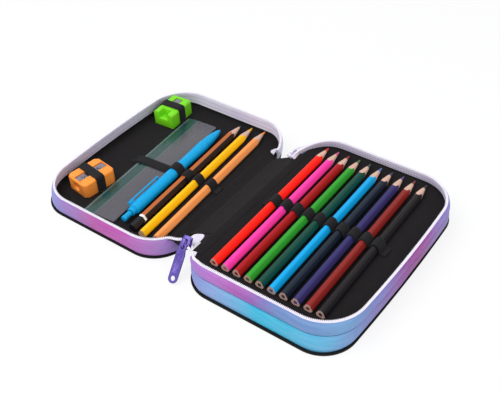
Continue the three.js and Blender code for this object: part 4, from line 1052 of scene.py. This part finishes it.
near_patch = [(3.5, -57.5), (20.5, -58.5), (23.5, -79), (15, -72.5), (3.5, -66)]
piece("near_tape_patch", patch(soft_corners(near_patch), on_flap, 1.5, 2.2), [white_tape.material],
      "spine_flap", ["near_tape_end"])
far_patch = [(-109.8, 74), (-106.6, 82.5), (-101.2, 76.5), (-100.8, 70.8)]
piece("far_tape_patch",
      patch(soft_corners(far_patch), lambda x, y, z: Vector((x, y, z + 2.2 * max(0, x + 103.2))), 7.3, 8.1),
      [white_tape.material], "lid", ["far_tape_end"])
crease = [(FOLD_LOW.x - CREASE_FROM_FOLD, y, LID_FLOOR + 0.1) for y in range(-64, 74, 4)]
stitches("lid_crease_stitches", crease, "lid", black_thread)
for name, along in (("low", 2.6), ("high", flap_length - 2.6)):
    seam = [on_flap(along, y, 2.12) for y in range(-56, 66, 4)]
    stitches(f"spine_{name}_stitches", seam, "spine_flap", black_thread)

# %% [markdown]
# ## Pencils
# A coloured pencil here is a rounded triangle in section. Sharpening turns it down to a cone: at each
# station the wood is as wide as the cone or the barrel, whichever is less. Where the cone wins there is bare
# wood, and the edge between them comes out in the scallops of a real sharpened pencil. The finish of
# each face follows from the same comparison, so no boolean or texture is needed.

# %% Sections and the sharpened form


def triangle_section(grow=0.0, arc=8, flat=4):
    """The rounded triangle, apex up, as points round its centre."""
    points = []
    for direction in (90, 210, 330):
        centre = Vector((math.cos(math.radians(direction)), math.sin(math.radians(direction)))) * 1.9
        for i in range(arc + 1):
            a = math.radians(direction - 60 + 120 * i / arc)
            points.append(centre + Vector((math.cos(a), math.sin(a))) * (2.3 + grow))
    full = []
    for i, p in enumerate(points):
        q = points[(i + 1) % len(points)]
        parts = flat if (q - p).length > 1.5 else 1
        full += [p.lerp(q, j / parts) for j in range(parts)]
    return full


def hexagon_section(across, parts=6):
    turns = [math.radians(60 * i) for i in range(6)]
    corners = [Vector((math.cos(a), math.sin(a))) * across / math.sqrt(3) for a in turns]
    return [c.lerp(corners[(i + 1) % 6], j / parts) for i, c in enumerate(corners) for j in range(parts)]


def sharpened(section, length, cone, lead, start=0.0, tip=0.5, rings=30):
    """Sections of a pencil along +Y from its butt, with the finish number of each face."""
    reach = max(p.length for p in section)
    slope = (reach - tip) / cone
    stations = [start, start + 0.25, *np.linspace(start + 0.3, length - cone, 8)[1:],
                *np.linspace(length - cone, length, rings)[1:]]
    allowed = [reach * 0.95 if y == start else tip + slope * (length - y) if y > length - cone else reach + 1
               for y in stations]
    core = [[p.normalized() * lead for p in section], [p.normalized() * 0.05 for p in section]]
    ends = [[(p.x, start, p.y) for p in ring] for ring in core[::-1]]
    outer = [[(p.x * k, y, p.y * k) for p in section for k in [min(1.0, most / p.length)]]
             for y, most in zip(stations, allowed)]
    form = loft([*ends, *outer])
    numbers = [2] * len(section) + [1] * len(section)
    for i in range(len(stations) - 1):
        y, most = (stations[i] + stations[i + 1]) / 2, (allowed[i] + allowed[i + 1]) / 2
        for j, p in enumerate(section):
            far = (p.length + section[(j + 1) % len(section)].length) / 2
            bare = y > length - cone and most < far
            numbers.append(2 if bare and most < lead else 1 if bare else 0)
    return form, [*numbers, 2, 2]


print("points round a pencil:", len(triangle_section()), "and, with six sides,", len(hexagon_section(7.0)))

# %% Pencils in their places
DECK_SET = dict(turn=1.0, shift=(-51.2, 0, DECK_FLOOR))
LID_SET = dict(turn=3.6, shift=(-123.3, 0, LID_FLOOR))
AXIS_HEIGHT = 3.25
PENCIL_PITCH = 10.97
PENCIL_LENGTH, PENCIL_CONE, LEAD_RADIUS = 175.0, 20.0, 1.7
ORANGE_X, YELLOW_X, GRAPHITE_X, PEN_X, RULER_X = 0.0, -14.2, -25.9, -38.3, -64.2
pencils = [
    ("pencil_red", "#f8230b", "#c93326"), ("pencil_pink", "#ff3fac", "#c65a86"),
    ("pencil_crimson", "#a80c16", "#982c34"), ("pencil_green", "#309c2c", "#51713c"),
    ("pencil_dark_green", "#0e4638", "#36463e"), ("pencil_blue", "#08a6e6", "#5572a4"),
    ("pencil_navy", "#16202e", "#3b3a4c"), ("pencil_violet", "#322e66", "#574a80"),
    ("pencil_brown", "#8a2420", "#7a3a34"), ("pencil_black", "#161315", "#3a3436"),
]


def moved(form, x, y, z):
    return [Vector(p) + Vector((x, y, z)) for p in form[0]], form[1]


def coloured_pencil(name, code, lead_code, x, y, seat):
    form, numbers = sharpened(triangle_section(), PENCIL_LENGTH, PENCIL_CONE, LEAD_RADIUS)
    lead = Finish(f"{name}_lead", lead_code, Roughness=0.5, Specular_IOR_Level=0.35)
    lead.bump(lead.noise(0.5), 0.03)
    piece(name + "_shape", settled(moved(form, x, y, CLEAR + AXIS_HEIGHT), **seat),
          [lacquer(name + "_lacquer", code), pencil_wood.material, lead.material], body_of_node[name], [name],
          pick=numbers, crease=28)


for number, (name, code, lead_code) in enumerate(pencils):
    coloured_pencil(name, code, lead_code, number * PENCIL_PITCH, -86.5, DECK_SET)
coloured_pencil("pencil_orange", "#ff9e54", "#f08a3c", ORANGE_X, -81.0, LID_SET)
coloured_pencil("pencil_yellow", "#fcc204", "#f0b010", YELLOW_X, -82.3, LID_SET)

# %% [markdown]
# The graphite pencil is a hexagon with orange and black sides in turn, a black end and a white ring. Sides
# and ring are told apart by the face's own place again, so the whole pencil stays one mesh.

# %% Graphite pencil


def collar(across, stations):
    """A short hexagonal sleeve from (station, share of its width) pairs."""
    return loft([[(p.x * k, y, p.y * k) for p in hexagon_section(across)] for y, k in stations])


def graphite_pencil():
    hexagon = hexagon_section(7.0)
    form, numbers = sharpened(hexagon, 171.0, 19.0, 1.1, start=12.0)
    painted = [3 if number == 0 and i % len(hexagon) // 6 % 2 == 0 else number
               for i, number in enumerate(numbers)]
    end = collar(7.25, [(-0.25, 0.75), (0.1, 0.93), (0.9, 1.0), (12.75, 1.0)])
    ring = collar(7.5, [(12.75, 0.97), (13.0, 1.0), (15.1, 1.0), (15.35, 0.97)])
    painted += [3] * len(end[1]) + [4] * len(ring[1])
    finishes = [lacquer("graphite_orange_lacquer", "#b8622c"), pencil_wood.material,
                lacquer("graphite_lead", "#3a3a3e"), lacquer("graphite_black_lacquer", "#17151a"),
                lacquer("graphite_white_ring", "#f2f0ee")]
    place_in_lid = moved(several([form, end, ring]), GRAPHITE_X, -80.5, CLEAR + 3.5)
    piece("graphite_pencil_shape", settled(place_in_lid, **LID_SET), finishes,
          body_of_node["graphite_pencil"], ["graphite_pencil"], pick=painted, crease=28)


graphite_pencil()

# %% [markdown]
# ## The pen
# A retractable ball pen: barrel, clip, plunger and nose are turned and moulded parts. Turned forms are a
# profile of radii drawn round the axis with many sides. The clip is the CAD shape with its edges rounded.

# %% Pen
PEN_RADIUS = 5.4
PEN_SEAT = (PEN_X, -67.5, CLEAR + PEN_RADIUS)


def turned_piece(name, profile, node):
    form = loft(turned([(0.02, profile[0][1]), *profile, (0.02, profile[-1][1])]))
    piece(name, settled(moved(form, *PEN_SEAT), **LID_SET), [pen_plastic], body_of_node[node], [node],
          crease=30)


turned_piece("pen_barrel_shell", [
    (2.85, 9.0), (2.85, 0.3), (3.1, 0.0), (3.5, 0.15), (3.9, 0.6), (3.9, 4.2), (4.6, 4.6), (5.2, 5.1),
    (5.4, 5.8), (5.4, 36.0), (5.4, 61.0), (5.33, 66.0), (5.1, 74.0), (4.93, 81.0), (5.0, 90.0), (5.25, 101.0),
    (5.4, 108.0), (5.4, 112.1), (5.2, 112.7), (4.8, 113.0),
], "pen_barrel")
turned_piece("pen_plunger_knob", [
    (2.1, -10.0), (2.5, -9.8), (2.7, -9.3), (2.7, -7.2), (2.55, -6.9), (2.55, -0.2),
], "pen_plunger")
turned_piece("pen_nose_cone", [
    (4.6, 113.3), (4.88, 113.5), (4.9, 114.5), (4.75, 119.0), (4.5, 123.6), (3.8, 128.5), (2.8, 133.6),
    (1.75, 137.4), (1.35, 138.2), (0.75, 138.4), (0.55, 138.9), (0.45, 140.1), (0.25, 140.3),
], "pen_nose")

# %% [markdown]
# ## Pieces that keep their CAD shape
# The sharpeners, blades, screws, sliders, pulls, clip, ruler and boards are rigid and already right, so the
# CAD solids stay. Real moulded and cast edges are never knife sharp: modifiers join the triangles into flat
# faces, round the edges a little and smooth what is round, without touching the CAD mesh itself.

# %% Rounded edges for CAD nodes


def smoothing_group(limit=34):
    """A small geometry group: every face smooth, every edge sharper than the limit kept sharp."""
    graph = Graph(bpy.data.node_groups.new("smooth_round_faces", "GeometryNodeTree"))
    for in_out in ("INPUT", "OUTPUT"):
        graph.tree.interface.new_socket("Geometry", in_out=in_out, socket_type="NodeSocketGeometry")
    source = graph.add("NodeGroupInput").outputs[0]
    angle = graph.add("GeometryNodeInputMeshEdgeAngle").outputs["Unsigned Angle"]
    compare = graph.add("FunctionNodeCompare", {0: angle, 1: math.radians(limit)}, operation="LESS_THAN")
    faces = graph.add("GeometryNodeSetShadeSmooth", {"Geometry": source}).outputs[0]
    gentle = {"Geometry": faces, "Shade Smooth": compare.outputs[0]}
    edges = graph.add("GeometryNodeSetShadeSmooth", gentle, domain="EDGE")
    graph.feed(graph.add("NodeGroupOutput"), {0: edges.outputs[0]})
    return graph.tree


smoothing = smoothing_group()


def dress(node, finish, rounding, slot):
    """A CAD node with its finish and rounded edges."""
    # A face with two openings doesn't join into one, so this body's triangles stay
    joined = node != "orange_sharpener"
    solid = frame["nodes"][node]
    for holder in solid.material_slots:
        holder.material = finish
    weld = solid.modifiers.new("join_corners", "WELD")
    weld.merge_threshold = 0.001 * MM
    if rounding and joined:
        flat = solid.modifiers.new("join_flat_faces", "DECIMATE")
        flat.decimate_type = "DISSOLVE"
        flat.angle_limit = math.radians(1)
    if rounding:
        edge = solid.modifiers.new("round_edges", "BEVEL")
        edge.width = rounding * MM
        edge.segments = 2
        edge.limit_method = "ANGLE"
        edge.angle_limit = math.radians(35)
    group = solid.modifiers.new("smooth_round_faces", "NODES")
    group.node_group = smoothing


print("dressing a node: weld, join flat faces, round the edges, smooth")

# %% [markdown]
# The flap's board is covered with print outside and black cloth inside. Height above the flap's own plane
# tells the two apart, so one finish does for both.

# %% The flap's board and the nodes that are dressed
spine_cloth = Finish("spine_cloth", "#9a7ccc", Roughness=0.7, Specular_IOR_Level=0.25)
from_fold = spine_cloth.math("MULTIPLY", spine_cloth.x, -flap_line.z / MM)
from_floor = spine_cloth.math("MULTIPLY", spine_cloth.z, flap_line.x / MM)
flap_rise = FOLD_LOW.dot(on_flap(0, 0, 1) - FOLD_LOW)
rise = spine_cloth.math("SUBTRACT", spine_cloth.math("ADD", from_fold, from_floor), flap_rise)
inside = spine_cloth.math("GREATER_THAN", rise, -FLAP_THICK / 2 + 0.15)
spine_cloth.colour(spine_cloth.mix(inside, printed_shade(spine_cloth, 0.0, DECK_PRINT), paint("#131013")))
spine_cloth.bump(weave(spine_cloth, 0.6), 0.05)

dressed = (
    ("upper_slider", purple_metal.material, 0.3, "purple_metal"),
    ("upper_pull", purple_metal.material, 0.25, "purple_metal"),
    ("lower_slider", pale_metal.material, 0.3, "pale_metal"),
    ("lower_pull", pale_metal.material, 0.25, "pale_metal"),
    ("pen_clip", pen_plastic, 0.3, "pen_plastic"),
    ("orange_sharpener", orange_plastic, 0.6, "orange_plastic"),
    ("green_sharpener", green_plastic, 0.5, "green_plastic"),
    *((node, brushed_steel.material, 0, "steel") for node in (
        "orange_blade_near", "orange_blade_far", "orange_screw_near", "orange_screw_far", "green_blade",
        "green_screw")),
    ("bottom_panel", tray_cloth, 0.3, "tray_cloth"),
    ("lid_panel", lid_cloth, 0.3, "lid_cloth"),
    ("spine_board", spine_cloth.material, 0.3, "deck_cloth"),
    ("deck_board", lining_cloth.material, 0.3, "lining"),
)
for row in dressed:
    dress(*row)
print("dressed CAD nodes:", len(dressed))

# %% [markdown]
# ## The ruler
# The ruler is clear plastic over a black floor, so it looks grey, and its thin bevelled edge carries a
# green band with the scale. The marks are generic millimetres: a repeating saw of the distance along the
# ruler, longer at each five and each ten. The ruler lies at a slant, so its finish first turns the
# coordinates into the ruler's own.

# %% Ruler
ruler_finish = Finish("ruler_plastic", "#55535a", Roughness=0.25, Alpha=0.9)


def dot(finish, across, along, offset):
    """A distance in millimetres along a direction of the floor."""
    sum_x = finish.math("MULTIPLY", finish.x, across / MM)
    return finish.math("ADD", finish.math("MULTIPLY_ADD", finish.y, along / MM, sum_x), offset)


def within(finish, value, low, high):
    above_low, below_high = finish.math("GREATER_THAN", value, low), finish.math("LESS_THAN", value, high)
    return finish.math("MULTIPLY", above_low, below_high)


spin = Matrix.Rotation(math.radians(LID_SET["turn"]), 3, "Z")
ruler_origin = spin @ Vector((RULER_X, -81.5, 0)) + Vector(LID_SET["shift"])
across_line, along_line = spin @ Vector((1, 0, 0)), spin @ Vector((0, 1, 0))
ruler_x = dot(ruler_finish, across_line.x, across_line.y, -across_line.dot(ruler_origin))
ruler_y = dot(ruler_finish, along_line.x, along_line.y, -along_line.dot(ruler_origin))
marks = 0.0
for pitch, long in ((1.0, 2.6), (5.0, 3.8), (10.0, 5.2)):
    saw = ruler_finish.math("FRACT", ruler_finish.math("DIVIDE", ruler_y, pitch))
    thin = ruler_finish.math("LESS_THAN", saw, 0.22 / pitch)
    reach_in = within(ruler_finish, ruler_x, -15.0, -15.0 + long)
    mark = ruler_finish.math("MULTIPLY", thin, reach_in)
    marks = ruler_finish.math("MAXIMUM", mark, marks)
scale_part = ruler_finish.math("MULTIPLY", marks, within(ruler_finish, ruler_y, 5.0, 155.2))
green_band = within(ruler_finish, ruler_x, -15.2, -5.0)
pale_edge = within(ruler_finish, ruler_x, -20.0, -15.2)
pale_line = within(ruler_finish, ruler_x, -5.0, -4.4)
body_tint = ruler_finish.mix(green_band, paint("#55535a"), paint("#274a48"))
body_tint = ruler_finish.mix(ruler_finish.math("MAXIMUM", pale_edge, pale_line), body_tint, paint("#5c726e"))
ruler_finish.colour(ruler_finish.mix(scale_part, body_tint, paint("#0a2320")))
ruler_finish.rough(ruler_finish.noise(9.0, 3.0), 0.2, 0.34)
dress("ruler", ruler_finish.material, 0.2, "ruler_plastic")

# %% [markdown]
# ## Elastics
# An elastic is sewn down at both ends and between the pencils, and hugs what it holds. Its line is first
# drawn tight round each thing, then walked at even steps and smoothed, which rounds the places where it
# dives between two pencils. Thickness is added along the line's own normals, and the edges are thinner, as
# in woven elastic.

# %% Elastics
ELASTIC_THICK = 0.9


def hugging_line(items, start, end, lift):
    """The tight line over things that stand side by side: (middle, outline points from left to right)."""
    line = [(start, lift)]
    for x, outline in items:
        line += [(x + p[0], max(p[1], 0) + lift) for p in outline]
    line.append((end, lift))
    return line


def smooth_line(line, step=0.5, passes=3):
    far, points_at = measured(line)
    even = points_at(np.linspace(0, far[-1], int(far[-1] / step)))
    for _ in range(passes):
        even[1:-1] = (even[:-2] + 2 * even[1:-1] + even[2:]) / 4
    return even


def elastic_band(node, line, width, seat):
    even = smooth_line(line)
    along = np.gradient(even, axis=0)
    along /= np.linalg.norm(along, axis=1)[:, None]
    normal = np.stack([-along[:, 1], along[:, 0]], axis=1)
    rings = []
    for share, full in ((-1, 0.45), (-0.94, 0.85), (-0.8, 1), (-0.3, 0.94),
                        (0.3, 0.94), (0.8, 1), (0.94, 0.85), (1, 0.45)):
        y = share * width / 2
        gap = ELASTIC_THICK * (1 - full) / 2
        inner = even + normal * gap
        outer = even + normal * (ELASTIC_THICK - gap)
        rings.append([(x, y, z) for x, z in inner] + [(x, y, z) for x, z in outer[::-1]])
    piece(node + "_web", settled(loft(rings), **seat), [elastic_web.material], body_of_node[node], [node])


def over_triangle(grow):
    section = [(p.x, p.y + AXIS_HEIGHT) for p in triangle_section(grow, arc=10, flat=1)]
    foot = max(p[0] for p in section)
    left = sorted((p for p in section if p[0] < 0 and grow < p[1] < AXIS_HEIGHT), key=lambda p: p[1])
    top = sorted(p for p in section if p[1] >= AXIS_HEIGHT)
    right = sorted((p for p in section if p[0] > 0 and grow < p[1] < AXIS_HEIGHT), key=lambda p: -p[1])
    return [(-foot, 0), *left, *top, *right, (foot, 0)]


def over_round(radius, height, grow):
    reach = radius + grow
    turns = [math.pi * i / 18 for i in range(19)]
    bend = [(-reach * math.cos(a), height + reach * math.sin(a)) for a in turns]
    return [(-reach, 0), *bend, (reach, 0)]


def over_box(half, height, corner, grow):
    half, height = half + grow, height + grow
    return [(-half, 0), (-half, height - corner), (-half + corner, height), (half - corner, height),
            (half, height - corner), (half, 0)]


print("outline points over a pencil:", len(over_triangle(0)))

# %% Bands in their places
HUG, SEWN_END = 0.42, 6.0
RULER_HALF, RULER_THICK = 17.5, 2.2
reach = 4.2 + SEWN_END
hugged = over_triangle(HUG)
last_pencil = (len(pencils) - 1) * PENCIL_PITCH
deck_line = hugging_line([(i * PENCIL_PITCH, hugged) for i in range(len(pencils))], -reach,
                         last_pencil + reach, CLEAR)
elastic_band("deck_elastic", deck_line, 11.0, DECK_SET)
lid_line = hugging_line([
    (RULER_X, over_box(RULER_HALF, RULER_THICK, 0.3, HUG)), (PEN_X, over_round(PEN_RADIUS, PEN_RADIUS, HUG)),
    (GRAPHITE_X, over_round(4.04, 3.5, HUG)), (YELLOW_X, hugged), (ORANGE_X, hugged),
], RULER_X - RULER_HALF - SEWN_END, reach, CLEAR)
elastic_band("lid_elastic", lid_line, 10.0, LID_SET)
for name, half, height, corner, turn, spot in (
    ("orange", 13.5, 15.0, 1.2, -8.0, (-218.5, -55.0)),
    ("green", 11.25, 15.5, 1.4, 4.0, (-223.8, 66.5)),
):
    end = half + CLEAR + ELASTIC_THICK + 1.2
    line = hugging_line([(0, over_box(half, height, corner, HUG))], -end, end, 0.05)
    elastic_band(f"{name}_strap", line, 9.0, dict(turn=turn, shift=(*spot, LID_FLOOR + CLEAR)))
